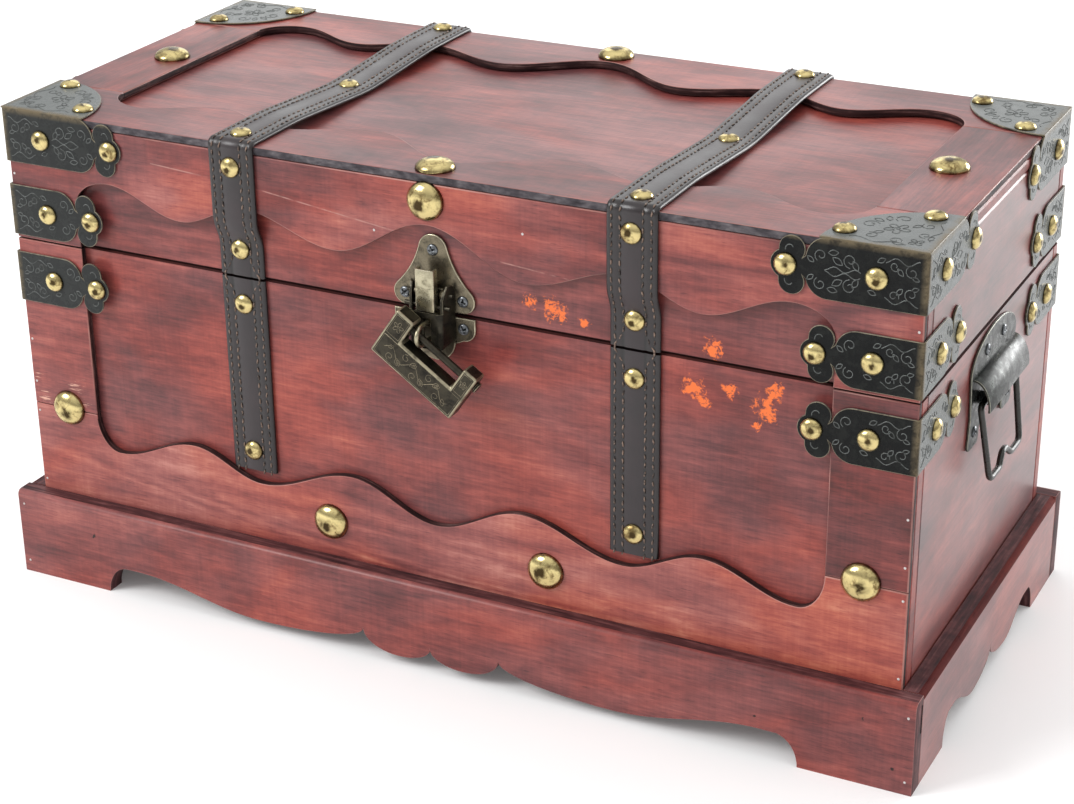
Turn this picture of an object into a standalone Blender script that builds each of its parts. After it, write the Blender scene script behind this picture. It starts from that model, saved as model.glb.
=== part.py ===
"""Wooden treasure chest: a boarded body on a scalloped plinth, under a flat hinged lid.

Units are metres. X runs along the front, Y towards the back, Z up. The origin is on the
floor, under the middle of the whole chest with its padlock and handles.
"""
import math

import bmesh
import bpy
from mathutils import Matrix, Vector

# Body and lid.
body_width = 0.500
body_depth = 0.227
seam_height = 0.198
chest_height = 0.270
seam_gap = 0.0008
body_bottom = 0.020
wall = 0.008
board = 0.0042
lid_top_thickness = 0.006
base_thickness = 0.006
base_height = 0.024
fit = 0.0003
overrun = 0.002
corner_round = 0.0008
weld = 0.000001

# Wavy overlay boards. A wave is a list of crests and troughs, from the middle outwards, as
# shares of the half opening and of the wave's height. What keeps its place on the lid's walls
# is a share of the lid's height.
stile_width = 0.041
rail_trough = 0.0815
rail_wave_height = 0.017
stile_foot = 0.1018
rail_wave_shares = ((0.0, 0.0), (0.235, 1.0), (0.50, 0.08), (0.70, 0.88), (0.935, 0.03))
valance_trough_share = 0.667
valance_wave_height_share = 0.302
frame_trough = 0.0485
frame_wave_height = 0.027
lid_wave_shares = ((0.0, 1.0), (0.255, 0.0), (0.50, 0.62), (0.69, 0.03), (0.90, 0.66))
wave_steps = 4
corner_steps = 4

# Plinth.
plinth_height = 0.0504
plinth_thickness = 0.0105
plinth_round = 0.003
plinth_round_steps = 2
lobe_height = 0.0055
front_cusp_height = 0.014
side_cusp_height = 0.0165
outer_cusp_height = 0.017
arch_height = 0.0165
front_foot = 0.058
side_foot = 0.0475
foot_slope = 0.013
side_foot_slope = 0.009
arch_round = 0.007
front_lobe_shares = (0.10, 0.21, 0.55, 0.96)
side_lobe_shares = (0.42, 0.90)
lobe_steps = 4

# Dome nails.
nail_radius = 0.0056
nail_height = 0.0032
nail_sides = 8
nail_profile_shares = ((0.0, 1.0), (0.62, 0.74))
big_nail_radius = 0.0100
big_nail_height = 0.0052
big_nail_sides = 12
big_nail_profile_shares = ((0.0, 1.0), (0.50, 0.84), (0.86, 0.42))
nail_root = 0.0006
shank_radius = 0.0008
body_nail_inset = 0.023
body_nail_height = 0.103
rail_nail_x_share = 0.25
rail_nail_height = 0.070
valance_nail_drop_share = 0.187
frame_nail_inset = 0.0105
frame_end_nail_inset = 0.027

# Leather straps.
strap_x_share = 0.438
strap_width = 0.0262
strap_thickness = 0.0025
strap_bend_points = 4
strap_back_length_share = 0.506
strap_dip = 0.0043
strap_rest_half_share = 0.176
strap_climb_out = 0.005
valance_cover_share = 0.59
strap_step_length_share = 0.14
body_strap_bottom = 0.0892
lid_strap_nail_drop_share = 0.1615
lid_strap_low_nail_drop_share = 0.7935
lid_strap_nail_inset = 0.009
back_strap_nail_drop_share = 0.379
body_strap_nail_drop = 0.014
body_strap_nail_rise = 0.0115

# Metal brackets: a wing with rounded shoulders ends in a neck and a flower of three lobes. Their
# sizes are shares of the wing's half width, which is a share of the lid's height.
sheet = 0.0010
wing_half_share = 0.1966
corner_flower = 0.0655
lower_flower = 0.0500
wing_near_nail = 0.0225
lobe_radius_share = 0.45
lobe_rise_share = 0.557
lobe_back_share = 0.214
tip_radius_share = 0.514
neck_back_share = 0.679
neck_half_share = 0.393
shoulder_share = 0.75
flower_points = 13
shoulder_points = 3
leaf_radius = 0.0500
leaf_points = 7
leaf_nail_far = 0.0425
leaf_nail_near = 0.0107
corner_wing_drop_share = 0.2037
lid_bracket_rise_share = 0.2247
body_bracket_drop = 0.0210

# Hinges, set on the outside of the back.
hinge_x_share = 0.60
hinge_width = 0.036
leaf_height = 0.0235
leaf_sheet = 0.0012
knuckle_radius = 0.0030
knuckle_half = 0.0060
pin_radius = 0.0012
knuckle_gap = 0.0004
tab_inset = 0.0003
pin_head = 0.0008
pin_head_radius = 0.0022
round_sides = 12
hinge_screw_x = 0.0125
hinge_screw_rise = 0.0150

# Latch plates, screwed to the recessed boards.
latch_x = 0.0015
latch_plate = 0.0015
plate_screw_x = 0.0160
plate_corner = 0.0065
catch_plate_rise = 0.0012
catch_plate_height_share = 0.4354
catch_top_radius = 0.0080
catch_waist = 0.0120
catch_waist_rise_share = 0.288
base_plate_height = 0.0122
base_lobe_radius = 0.0110
base_lobe_drop = 0.0140
screw_radius = 0.0029
screw_height = 0.0010

# Latch lever, a channel whose depth is measured outwards from its back edge. Its heights, and
# those of what it carries, are measured from the seam.
lever_gap = 0.0004
lever_depth = 0.0092
lever_sheet = 0.0012
lever_half = 0.0095
lever_splay = 0.0025
lever_top = 0.0170
lever_shoulder = 0.0105
lever_bottom = 0.0154
lever_foot_slope = 0.0040
lever_head_back = 0.0015
lever_head_front = 0.0045
lever_head_slope = 0.0030
lever_round = 0.0025
web_top = 0.0036
lever_pivot_depth = 0.0031
lever_pivot_rise = 0.0120
lever_pin_radius = 0.0011
lever_pin_out = 0.0005
slot_clearance = 0.0009

# Latch link, a small channel on a pin of its own, and the neck, ears and catch round it.
link_pin_depth = 0.0059
link_pin_rise = 0.0063
link_half = 0.0052
link_depth = 0.0044
link_height = 0.0215
link_foot = 0.0020
link_round = 0.0009
neck_thickness = 0.0020
neck_foot = 0.0070
neck_root = 0.0007
ear_inset = 0.0016
ear_thickness = 0.0016
ear_radius = 0.0024
ear_foot = 0.0045
catch_rise = 0.0165
catch_thickness = 0.0022
catch_half = 0.0035
catch_slope = 0.0035
catch_room = 0.0005

# Staple and padlock. The padlock is laid out in its own plane, from its outer corner.
staple_shift = 0.0010
staple_wire = 0.0012
staple_bend = 0.0049
staple_drop = 0.0062
staple_points = 9
padlock_tilt_deg = 34.5
padlock_length = 0.0522
padlock_height = 0.0285
padlock_thickness = 0.0090
padlock_edge = 0.0012
padlock_block = 0.0147
padlock_post = 0.0110
padlock_far_post = 0.0085
bar_radius = 0.0019
bar_rise = 0.0220
bar_socket = 0.0035
bar_head = 0.0014
bar_head_radius = 0.0029
ring_place = 0.0159
bar_setback = 0.0007
lock_room = 0.0033
bar_clearance = 0.00035

# Side handles. Heights are measured from the bail's axis.
handle_sheet = 0.0012
handle_half = 0.0365
handle_axis_height = 0.163
handle_top_rise = 0.0330
handle_shoulder_rise = 0.0170
handle_foot_drop = 0.0230
handle_foot_half = 0.0085
handle_foot_out = 0.0275
handle_foot_round = 0.0035
handle_arch_drop = 0.0020
handle_waist = 0.0340
handle_waist_drop = 0.0060
handle_arch_points = 7
hood_half = 0.0330
hood_rise = 0.0150
hood_reach = 0.0090
hood_lip = 0.0010
hood_points = 7
axis_stand = 0.0030
handle_ear_out = 0.0180
handle_ear_radius = 0.0034
handle_upper_screw_out = 0.0134
handle_upper_screw_rise = 0.0235
handle_lower_screw_out = 0.0272
handle_lower_screw_drop = 0.0145
bail_wire = 0.00165
bail_half = 0.0290
bail_foot_half = 0.0255
bail_end = 0.0150
bail_length = 0.0400
bail_round = 0.0060
bail_bump = 0.0055
bail_bump_half = 0.0095
bail_bump_flat = 0.0030
bail_tilt_deg = 8.5
bail_points = 3

# Levels and planes that the sizes above give.
latch_stand = fit + latch_plate
recess = board + fit
padlock_front_reach = (latch_stand + lever_gap + lever_depth + lock_room + padlock_thickness
                       - recess)
plinth_reach = fit + plinth_thickness
middle_y = (padlock_front_reach - plinth_reach) / 2
half_width = body_width / 2
half_depth = body_depth / 2
front_y = middle_y - half_depth
back_y = middle_y + half_depth
panel_y = front_y + recess
lid_bottom = seam_height + seam_gap
lid_height = chest_height - lid_bottom
lid_roof = chest_height - board - fit
lid_wall_top = lid_roof - lid_top_thickness - fit
opening_half = half_width - stile_width
valance_trough = valance_trough_share * lid_height
valance_wave_height = valance_wave_height_share * lid_height
valance_nail_drop = valance_nail_drop_share * lid_height
valance_cover = valance_cover_share * lid_height
body_nail_x = half_width - body_nail_inset
rail_nail_x = rail_nail_x_share * half_width
strap_x = strap_x_share * half_width
strap_climb_start = half_depth - frame_trough + strap_climb_out
strap_rest_half = strap_rest_half_share * half_depth
strap_step_length = strap_step_length_share * lid_height
strap_back_length = strap_back_length_share * lid_height
lid_strap_nail_drop = lid_strap_nail_drop_share * lid_height
lid_strap_low_nail_drop = lid_strap_low_nail_drop_share * lid_height
back_strap_nail_drop = back_strap_nail_drop_share * lid_height
wing_half = wing_half_share * lid_height
corner_wing_drop = corner_wing_drop_share * lid_height
lid_bracket_rise = lid_bracket_rise_share * lid_height
lobe_radius = lobe_radius_share * wing_half
lobe_rise = lobe_rise_share * wing_half
lobe_back = lobe_back_share * wing_half
tip_radius = tip_radius_share * wing_half
neck_back = neck_back_share * wing_half
neck_half = neck_half_share * wing_half
shoulder = shoulder_share * wing_half
hinge_x = hinge_x_share * half_width
catch_plate_height = catch_plate_height_share * lid_height
catch_waist_rise = catch_waist_rise_share * lid_height
plate_face_y = panel_y - latch_stand
hinge_z = seam_height + seam_gap / 2
hinge_y = back_y + fit + knuckle_radius
latch_y = plate_face_y - lever_gap
lever_front_y = latch_y - lever_depth
padlock_y = lever_front_y - lock_room - padlock_thickness / 2
staple_x = latch_x + staple_shift
staple_z = seam_height - staple_drop
handle_face = fit + handle_sheet
lever_pivot = (latch_x, latch_y - lever_pivot_depth, seam_height + lever_pivot_rise)
link_pivot = (latch_x, latch_y - link_pin_depth, seam_height + link_pin_rise)


# Scene, collections and materials.
for old in list(bpy.data.objects):
    bpy.data.objects.remove(old, do_unlink=True)

parts = bpy.data.collections.new("wooden_treasure_chest")
cutters = bpy.data.collections.new("cutters")
bpy.context.scene.collection.children.link(parts)
bpy.context.scene.collection.children.link(cutters)

finishes = {
    "stained_wood": ((0.26, 0.045, 0.040), 0.42, 0.0),
    "inner_wood": ((0.20, 0.035, 0.030), 0.60, 0.0),
    "dark_leather": ((0.030, 0.020, 0.018), 0.45, 0.0),
    "blackened_metal": ((0.045, 0.048, 0.042), 0.40, 0.8),
    "old_bronze": ((0.16, 0.125, 0.075), 0.38, 0.9),
    "hinge_brass": ((0.42, 0.30, 0.12), 0.35, 0.9),
}


def finish(name, look):
    colour, roughness, metallic = finishes[look]
    made = bpy.data.materials.new(name)
    made.use_nodes = True
    shader = made.node_tree.nodes["Principled BSDF"]
    shader.inputs["Base Color"].default_value = (*colour, 1.0)
    shader.inputs["Roughness"].default_value = roughness
    shader.inputs["Metallic"].default_value = metallic
    return made


# Frames: an outline's right and up, and the way its thickness goes, at an origin.
def frame_of(right, up, origin):
    right, up = Vector(right), Vector(up)
    way = right.cross(up)
    rows = [(right[i], up[i], way[i], origin[i]) for i in range(3)]
    return Matrix((*rows, (0, 0, 0, 1)))


def face_frame(face, out=0.0):
    """The plane of one of the chest's outer faces, or one that lies so far out from it."""
    if face == "front":
        return frame_of((1, 0, 0), (0, 0, 1), (0, front_y - out, 0))
    if face == "back":
        return frame_of((-1, 0, 0), (0, 0, 1), (0, back_y + out, 0))
    if face == "right":
        return frame_of((0, 1, 0), (0, 0, 1), (half_width + out, middle_y, 0))
    if face == "left":
        return frame_of((0, -1, 0), (0, 0, 1), (-half_width - out, middle_y, 0))
    return frame_of((1, 0, 0), (0, 1, 0), (0, middle_y, chest_height + out))


def section_frame(x):
    """An upright plane across the chest: outlines there are in world Y and Z."""
    return frame_of((0, 1, 0), (0, 0, 1), (x, 0, 0))


# Makers of plain solids. Each returns an object in the cutters collection.
def add_object(name, mesh, world=None):
    made = bpy.data.objects.new(name, mesh)
    cutters.objects.link(made)
    if world is not None:
        made.matrix_world = world
    made.hide_render = True
    made.display_type = "WIRE"
    return made


def evaluated_mesh(source):
    bpy.context.view_layer.update()
    graph = bpy.context.evaluated_depsgraph_get()
    return bpy.data.meshes.new_from_object(source.evaluated_get(graph))


def tidy_mesh(mesh):
    work = bmesh.new()
    work.from_mesh(mesh)
    bmesh.ops.remove_doubles(work, verts=work.verts, dist=weld)
    bmesh.ops.recalc_face_normals(work, faces=work.faces)
    work.to_mesh(mesh)
    work.free()


def from_curve(name, curve, world):
    source = add_object(name + "_curve", curve, world)
    mesh = evaluated_mesh(source)
    bpy.data.objects.remove(source, do_unlink=True)
    tidy_mesh(mesh)
    return add_object(name, mesh, world)


def add_points(curve, points, closed):
    spline = curve.splines.new("POLY")
    spline.points.add(len(points) - 1)
    for point, place in zip(spline.points, points):
        point.co = (*place, 0.0, 1.0) if len(place) == 2 else (*place, 1.0)
    spline.use_cyclic_u = closed


def slab(name, outline, thickness, frame):
    """A flat outline with its thickness centred on the frame's plane."""
    curve = bpy.data.curves.new(name, "CURVE")
    curve.dimensions = "2D"
    curve.fill_mode = "BOTH"
    curve.extrude = thickness / 2
    add_points(curve, outline, True)
    return from_curve(name, curve, frame)


def wire(name, points, radius, sides_level=2):
    curve = bpy.data.curves.new(name, "CURVE")
    curve.dimensions = "3D"
    curve.bevel_depth = radius
    curve.bevel_resolution = sides_level
    curve.use_fill_caps = True
    add_points(curve, points, False)
    return from_curve(name, curve, Matrix.Identity(4))


def box(name, low, high):
    work = bmesh.new()
    bmesh.ops.create_cube(work, size=1)
    size = [b - a for a, b in zip(low, high)]
    centre = [(a + b) / 2 for a, b in zip(low, high)]
    bmesh.ops.scale(work, vec=size, verts=work.verts)
    bmesh.ops.translate(work, vec=centre, verts=work.verts)
    mesh = bpy.data.meshes.new(name)
    work.to_mesh(mesh)
    work.free()
    return add_object(name, mesh)


def rod(name, radius, start, end, sides=round_sides):
    start, end = Vector(start), Vector(end)
    way = end - start
    work = bmesh.new()
    bmesh.ops.create_cone(work, cap_ends=True, segments=sides, radius1=radius, radius2=radius,
                          depth=way.length)
    turn = way.to_track_quat("Z", "Y").to_matrix().to_4x4()
    bmesh.ops.transform(work, matrix=Matrix.Translation((start + end) / 2) @ turn, verts=work.verts)
    mesh = bpy.data.meshes.new(name)
    work.to_mesh(mesh)
    work.free()
    return add_object(name, mesh)


def cross_rod(name, radius, centre, half):
    """A rod along X."""
    x, y, z = centre
    return rod(name, radius, (x - half, y, z), (x + half, y, z))


def turned(name, profile, sides):
    """A profile of radius and height, from the top down, turned about Z."""
    mesh = bpy.data.meshes.new(name)
    steps = [(i, i + 1) for i in range(len(profile) - 1)]
    mesh.from_pydata([(r, 0, z) for r, z in profile], steps, [])
    made = add_object(name, mesh)
    screw = made.modifiers.new("turn", "SCREW")
    screw.steps = sides
    screw.render_steps = sides
    screw.use_merge_vertices = True
    screw.merge_threshold = weld
    solid = evaluated_mesh(made)
    bpy.data.objects.remove(made, do_unlink=True)
    tidy_mesh(solid)
    return solid


def settle(target):
    """Keeps what the modifiers make, and drops them."""
    mesh = evaluated_mesh(target)
    target.modifiers.clear()
    target.data = mesh
    tidy_mesh(mesh)
    return target


def combine(target, others, operation="UNION"):
    for other in others:
        step = target.modifiers.new(operation.lower(), "BOOLEAN")
        step.operation = operation
        step.solver = "EXACT"
        step.object = other
    settle(target)
    for other in others:
        bpy.data.objects.remove(other, do_unlink=True)
    return target


def cut(target, others):
    return combine(target, others, "DIFFERENCE")


def node(name, solid, look, pivot=(0, 0, 0)):
    """Names a finished solid, gives it its finish and puts its origin at its pivot."""
    mesh = solid.data
    mesh.transform(Matrix.Translation(-Vector(pivot)) @ solid.matrix_world)
    cutters.objects.unlink(solid)
    parts.objects.link(solid)
    solid.matrix_world = Matrix.Translation(pivot)
    solid.name = name
    mesh.name = name
    solid.hide_render = False
    solid.display_type = "TEXTURED"
    mesh.materials.clear()
    mesh.materials.append(finish(name, look))
    mesh.shade_smooth()
    mesh.set_sharp_from_angle(angle=math.radians(30))
    return solid


def softened(solid, width=corner_round):
    bevel = solid.modifiers.new("soft_edges", "BEVEL")
    bevel.width = width
    bevel.segments = 1
    bevel.limit_method = "ANGLE"
    return settle(solid)


def round_edge(solid, chosen, width, segments):
    """Rounds the edges whose two ends pass the test, in world space."""
    work = bmesh.new()
    work.from_mesh(solid.data)
    world = solid.matrix_world
    edges = [e for e in work.edges if all(chosen(world @ v.co) for v in e.verts)]
    bmesh.ops.bevel(work, geom=edges, offset=width, segments=segments, affect="EDGES",
                    profile=0.5)
    work.to_mesh(solid.data)
    work.free()
    return solid


# Outlines.
def arc(centre, radius, start, end, count):
    """Points of an arc, in degrees, both ends included."""
    angles = [math.radians(start + (end - start) * i / (count - 1)) for i in range(count)]
    return [(centre[0] + radius * math.cos(a), centre[1] + radius * math.sin(a)) for a in angles]


def oval(centre, wide, high, start, end, count):
    """Points of an ellipse, in degrees, both ends included."""
    return [(centre[0] + x * wide, centre[1] + y * high)
            for x, y in arc((0.0, 0.0), 1.0, start, end, count)]


def mirrored(half_points):
    """A whole line from left to right, from its half that starts at the middle."""
    left = [(-x, y) for x, y in reversed(half_points[1:])]
    return left + half_points


def eased(path, cut_back, count):
    """A path whose inner corners are rounded from a short way back."""
    points = [path[0]]
    for before, corner, after in zip(path, path[1:], path[2:]):
        corner = Vector(corner)
        start = corner + (Vector(before) - corner).normalized() * cut_back
        end = corner + (Vector(after) - corner).normalized() * cut_back
        for i in range(count):
            t = i / (count - 1)
            points.append(tuple(start * (1 - t) ** 2 + corner * 2 * t * (1 - t) + end * t ** 2))
    return points + [path[-1]]


def wave_half(shares, half, height, end_share):
    """A wave from the middle to the edge of an opening, with a rounded corner at the edge."""
    points = []
    for (x0, h0), (x1, h1) in zip(shares, shares[1:]):
        for i in range(wave_steps):
            t = i / wave_steps
            blend = (1 - math.cos(math.pi * t)) / 2
            points.append(((x0 + (x1 - x0) * t) * half, (h0 + (h1 - h0) * blend) * height))
    x0, h0 = shares[-1]
    for i in range(corner_steps + 1):
        a = math.pi / 2 * i / corner_steps
        points.append(((x0 + (1 - x0) * math.sin(a)) * half,
                       (h0 + (end_share - h0) * (1 - math.cos(a))) * height))
    return points


def lobe(start, low, end):
    """A hanging lobe between two cusps, as two quarter ellipses through its low point."""
    left = [(low[0] + (start[0] - low[0]) * c, start[1] + (low[1] - start[1]) * s)
            for c, s in arc((0.0, 0.0), 1.0, 0, 90, lobe_steps)]
    right = [(low[0] + (end[0] - low[0]) * c, end[1] + (low[1] - end[1]) * s)
             for c, s in arc((0.0, 0.0), 1.0, 90, 0, lobe_steps)]
    return left + right[1:]


def swell(start, end):
    """A smooth climb between two levels, without its first point."""
    return [(start[0] + (end[0] - start[0]) * i / lobe_steps,
             start[1] + (end[1] - start[1]) * (1 - math.cos(math.pi * i / lobe_steps)) / 2)
            for i in range(1, lobe_steps + 1)]


# Plinth boards.
def front_scallop(half):
    """Two lobes and a long swell, from the middle to the arch beside the foot."""
    low1, cusp, low2, rise = (half * share for share in front_lobe_shares)
    points = lobe((0.0, front_cusp_height), (low1, lobe_height), (cusp, outer_cusp_height))
    points += lobe((cusp, outer_cusp_height), (low2, lobe_height), (rise, lobe_height))[1:lobe_steps]
    return points + swell((low2, lobe_height), (rise, arch_height))


def side_scallop(half):
    low, rise = (half * share for share in side_lobe_shares)
    points = lobe((0.0, side_cusp_height), (low, lobe_height), (rise, lobe_height))[:lobe_steps]
    return points + swell((low, lobe_height), (rise, arch_height))


def plinth_outline(half, foot, slope, scallop):
    """A board's face: a straight top, and a scalloped lower edge between its feet."""
    inner = half - foot
    edge = scallop + [(inner - slope / 2, arch_height - arch_round / 2), (inner, 0.0)]
    return [(-half, 0.0)] + mirrored(edge) + [(half, 0.0), (half, plinth_height), (-half, plinth_height)]


def make_plinth_board(name, face, outline):
    solid = slab(name, outline, plinth_thickness, face_frame(face, fit + plinth_thickness / 2))
    outer = face_frame(face, plinth_reach).inverted()
    round_edge(solid, lambda p: p.z > plinth_height - fit and abs((outer @ p).z) < fit,
               plinth_round, plinth_round_steps)
    node(name, solid, "stained_wood")


def make_plinth():
    outer_half = half_width + plinth_reach
    inner_half = outer_half - front_foot - foot_slope
    front = plinth_outline(outer_half, front_foot, foot_slope, front_scallop(inner_half))
    side_inner = half_depth + plinth_reach - side_foot - side_foot_slope
    side = plinth_outline(half_depth, side_foot - plinth_reach, side_foot_slope,
                          side_scallop(side_inner))
    make_plinth_board("plinth_front", "front", front)
    make_plinth_board("plinth_back", "back", front)
    make_plinth_board("plinth_left", "left", side)
    make_plinth_board("plinth_right", "right", side)


# Body and lid boxes.
def panel(name, low, high, look="stained_wood"):
    node(name, softened(box(name, low, high)), look)


def make_box(prefix, bottom, top):
    """Front and back over the full width, and the sides between them."""
    inner_x = half_width - wall
    inner_front = panel_y + wall + fit
    inner_back = back_y - wall - fit
    panel(prefix + "front_panel", (-half_width, panel_y, bottom), (half_width, panel_y + wall, top))
    panel(prefix + "back_panel", (-half_width, back_y - wall, bottom), (half_width, back_y, top))
    panel(prefix + "left_panel", (-half_width, inner_front, bottom), (-inner_x, inner_back, top))
    panel(prefix + "right_panel", (inner_x, inner_front, bottom), (half_width, inner_back, top))


def make_boards():
    inner_x = half_width - wall - fit
    low = (-inner_x, panel_y + wall + fit, base_height)
    panel("body_base_board", low, (inner_x, back_y - wall - fit, base_height + base_thickness), "inner_wood")
    panel("lid_top_panel", (-half_width, panel_y, lid_wall_top + fit), (half_width, back_y, lid_roof - fit))


# Dome nails and screw heads, several at a time, for a union with what they fasten.
def dome_profile(radius, height, shares, standing):
    """A dome on the face it fastens, or one that stands on a shank just clear of it."""
    rim = [(r * radius, h * height) for r, h in shares]
    if standing:
        return rim + [(radius, 0.0), (shank_radius, 0.0), (shank_radius, -fit - nail_root),
                      (0.0, -fit - nail_root)]
    return rim + [(radius, -nail_root), (0.0, -nail_root)]


def gather(name, mesh, frame, places):
    """Copies of one mesh, standing on a frame's plane."""
    work = bmesh.new()
    for place in places:
        copy = mesh.copy()
        copy.transform(frame @ Matrix.Translation((*place, 0.0)))
        work.from_mesh(copy)
        bpy.data.meshes.remove(copy)
    whole = bpy.data.meshes.new(name)
    work.to_mesh(whole)
    work.free()
    bpy.data.meshes.remove(mesh)
    return add_object(name, whole)


def small_nails(frame, places):
    profile = dome_profile(nail_radius, nail_height, nail_profile_shares, False)
    return gather("small_nails", turned("small_nail", profile, nail_sides), frame, places)


def big_nails(frame, places, standing=False):
    profile = dome_profile(big_nail_radius, big_nail_height, big_nail_profile_shares, standing)
    return gather("big_nails", turned("big_nail", profile, big_nail_sides), frame, places)


def screw_heads(frame, places):
    profile = [(0.0, screw_height), (screw_radius, screw_height), (screw_radius, -nail_root),
               (0.0, -nail_root)]
    return gather("screw_heads", turned("screw_head", profile, nail_sides), frame, places)


# Overlay boards.
def make_rail():
    """The body's lower front board, with a wavy upper edge and square ends."""
    end_share = (stile_foot - rail_trough) / rail_wave_height
    wave = wave_half(rail_wave_shares, opening_half, rail_wave_height, end_share)
    edge = [(x, rail_trough + z) for x, z in mirrored(wave)]
    outline = [(-half_width, stile_foot), (-half_width, body_bottom), (half_width, body_bottom),
               (half_width, stile_foot)] + edge[::-1]
    solid = slab("front_rail", outline, board, face_frame("front", -board / 2))
    places = [(-rail_nail_x, rail_nail_height), (rail_nail_x, rail_nail_height)]
    nails = big_nails(face_frame("front"), places)
    node("front_rail", combine(solid, [nails]), "stained_wood")


def make_stiles():
    for name, side in (("front_left_stile", -1), ("front_right_stile", 1)):
        near, far = sorted((side * opening_half, side * half_width))
        low = (near, front_y, stile_foot + fit)
        solid = box(name, low, (far, front_y + board, seam_height))
        nails = big_nails(face_frame("front", fit), [(side * body_nail_x, body_nail_height)], True)
        node(name, combine(solid, [nails]), "stained_wood")


def make_valance():
    """The lid's front board: a wavy strip with a short stile at each end."""
    low = chest_height - valance_trough
    wave = wave_half(lid_wave_shares, opening_half, valance_wave_height, 0.0)
    edge = [(x, low + z) for x, z in mirrored(wave)]
    outline = [(-half_width, lid_bottom), (-opening_half, lid_bottom)] + edge
    outline += [(opening_half, lid_bottom), (half_width, lid_bottom), (half_width, lid_roof),
                (-half_width, lid_roof)]
    solid = slab("lid_valance", outline, board, face_frame("front", -board / 2))
    nails = big_nails(face_frame("front", fit), [(0.0, chest_height - valance_nail_drop)], True)
    node("lid_valance", combine(solid, [nails]), "stained_wood")


def make_lid_frame():
    """Two long wavy boards on the lid, and two straight ones between their ends."""
    wave = wave_half(lid_wave_shares, opening_half, frame_wave_height, 0.0)
    joint = half_depth - frame_trough
    edge = [(x, joint + d) for x, d in mirrored(wave)]
    outline = [(-half_width, joint), (-half_width, half_depth), (half_width, half_depth),
               (half_width, joint)] + edge[::-1]
    nail_y = half_depth - frame_nail_inset
    for name, side in (("lid_frame_front", -1), ("lid_frame_back", 1)):
        placed = [(x, side * y) for x, y in outline]
        solid = slab(name, placed, board, face_frame("top", -board / 2))
        nails = big_nails(face_frame("top"), [(0.0, side * nail_y)])
        node(name, combine(solid, [nails]), "stained_wood")
    nail_x = half_width - frame_end_nail_inset
    for name, side in (("lid_frame_left", -1), ("lid_frame_right", 1)):
        near, far = sorted((side * opening_half, side * half_width))
        low = (near, middle_y - joint + fit, chest_height - board)
        solid = box(name, low, (far, middle_y + joint - fit, chest_height))
        nails = big_nails(face_frame("top"), [(side * nail_x, 0.0)])
        node(name, combine(solid, [nails]), "stained_wood")


# Straps.
def thick_path(path, thickness):
    """A band's outline, from the path of its inner face; its outer face is to the left."""
    outer = []
    for i, point in enumerate(path):
        here = Vector(point)
        ways = [Vector(b) - Vector(a) for a, b in zip(path[max(i - 1, 0):], path[max(i, 1):i + 2])]
        ways = [way.normalized() for way in ways]
        mean = (ways[0] + ways[-1]).normalized()
        across = Vector((-mean.y, mean.x))
        outer.append(tuple(here + across * thickness / mean.dot(ways[0])))
    return path + outer[::-1]


def lid_strap_path():
    """From the seam at the front, up and over the top, and a little way down the back."""
    face = front_y - fit
    top = chest_height + fit
    step_top = chest_height - valance_cover
    path = [(panel_y - fit, lid_bottom + fit), (panel_y - fit, step_top - strap_step_length),
            (face, step_top)]
    path += arc((front_y, chest_height), fit, 180, 90, strap_bend_points)
    path += [(middle_y - strap_climb_start, top), (middle_y - strap_rest_half, top - strap_dip),
             (middle_y + strap_rest_half, top - strap_dip), (middle_y + strap_climb_start, top)]
    path += arc((back_y, chest_height), fit, 90, 0, strap_bend_points)
    return path + [(back_y + fit, chest_height - strap_back_length)]


def make_lid_strap(name, x):
    skin = fit + strap_thickness
    solid = slab(name, thick_path(lid_strap_path(), strap_thickness), strap_width, section_frame(x))
    end_y = half_depth - lid_strap_nail_inset
    nails = [
        small_nails(face_frame("front", skin), [(x, chest_height - lid_strap_nail_drop)]),
        small_nails(face_frame("front", skin - recess), [(x, chest_height - lid_strap_low_nail_drop)]),
        small_nails(face_frame("top", skin), [(x, -end_y), (x, end_y)]),
        small_nails(face_frame("top", skin - strap_dip), [(x, 0.0)]),
        small_nails(face_frame("back", skin), [(-x, chest_height - back_strap_nail_drop)]),
    ]
    node(name, combine(solid, nails), "dark_leather")


def make_body_strap(name, x):
    top = seam_height - fit
    skin = fit + strap_thickness
    low = (x - strap_width / 2, panel_y - skin, body_strap_bottom)
    solid = box(name, low, (x + strap_width / 2, panel_y - fit, top))
    places = [(x, top - body_strap_nail_drop), (x, body_strap_bottom + body_strap_nail_rise)]
    nails = small_nails(face_frame("front", skin - recess), places)
    node(name, combine(solid, [nails]), "dark_leather")


# Brackets. A wing lies along a face: s runs from the corner, and t up from its middle line.
def lobe_reach(ray, middle, radius):
    """How far a ray from the flower's middle runs before it leaves a lobe."""
    along = middle.dot(ray)
    inside = radius ** 2 - middle.length_squared + along ** 2
    return along + math.sqrt(inside) if inside > 0 else 0.0


def flower_outline(flower):
    """Round the three lobes, from the neck's lower side to its upper side."""
    centre = Vector((flower - lobe_back, 0.0))
    lobes = [(Vector((0.0, lobe_rise)), lobe_radius), (Vector((0.0, -lobe_rise)), lobe_radius),
             (Vector((lobe_back, 0.0)), tip_radius)]
    neck = Vector((lobe_back - neck_back, neck_half))
    open_angle = math.atan2(neck.y, neck.x)
    points = []
    for i in range(flower_points):
        angle = open_angle * (2 * i / (flower_points - 1) - 1)
        ray = Vector((math.cos(angle), math.sin(angle)))
        reach = max(lobe_reach(ray, middle, radius) for middle, radius in lobes)
        points.append(tuple(centre + ray * reach))
    return points


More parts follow.
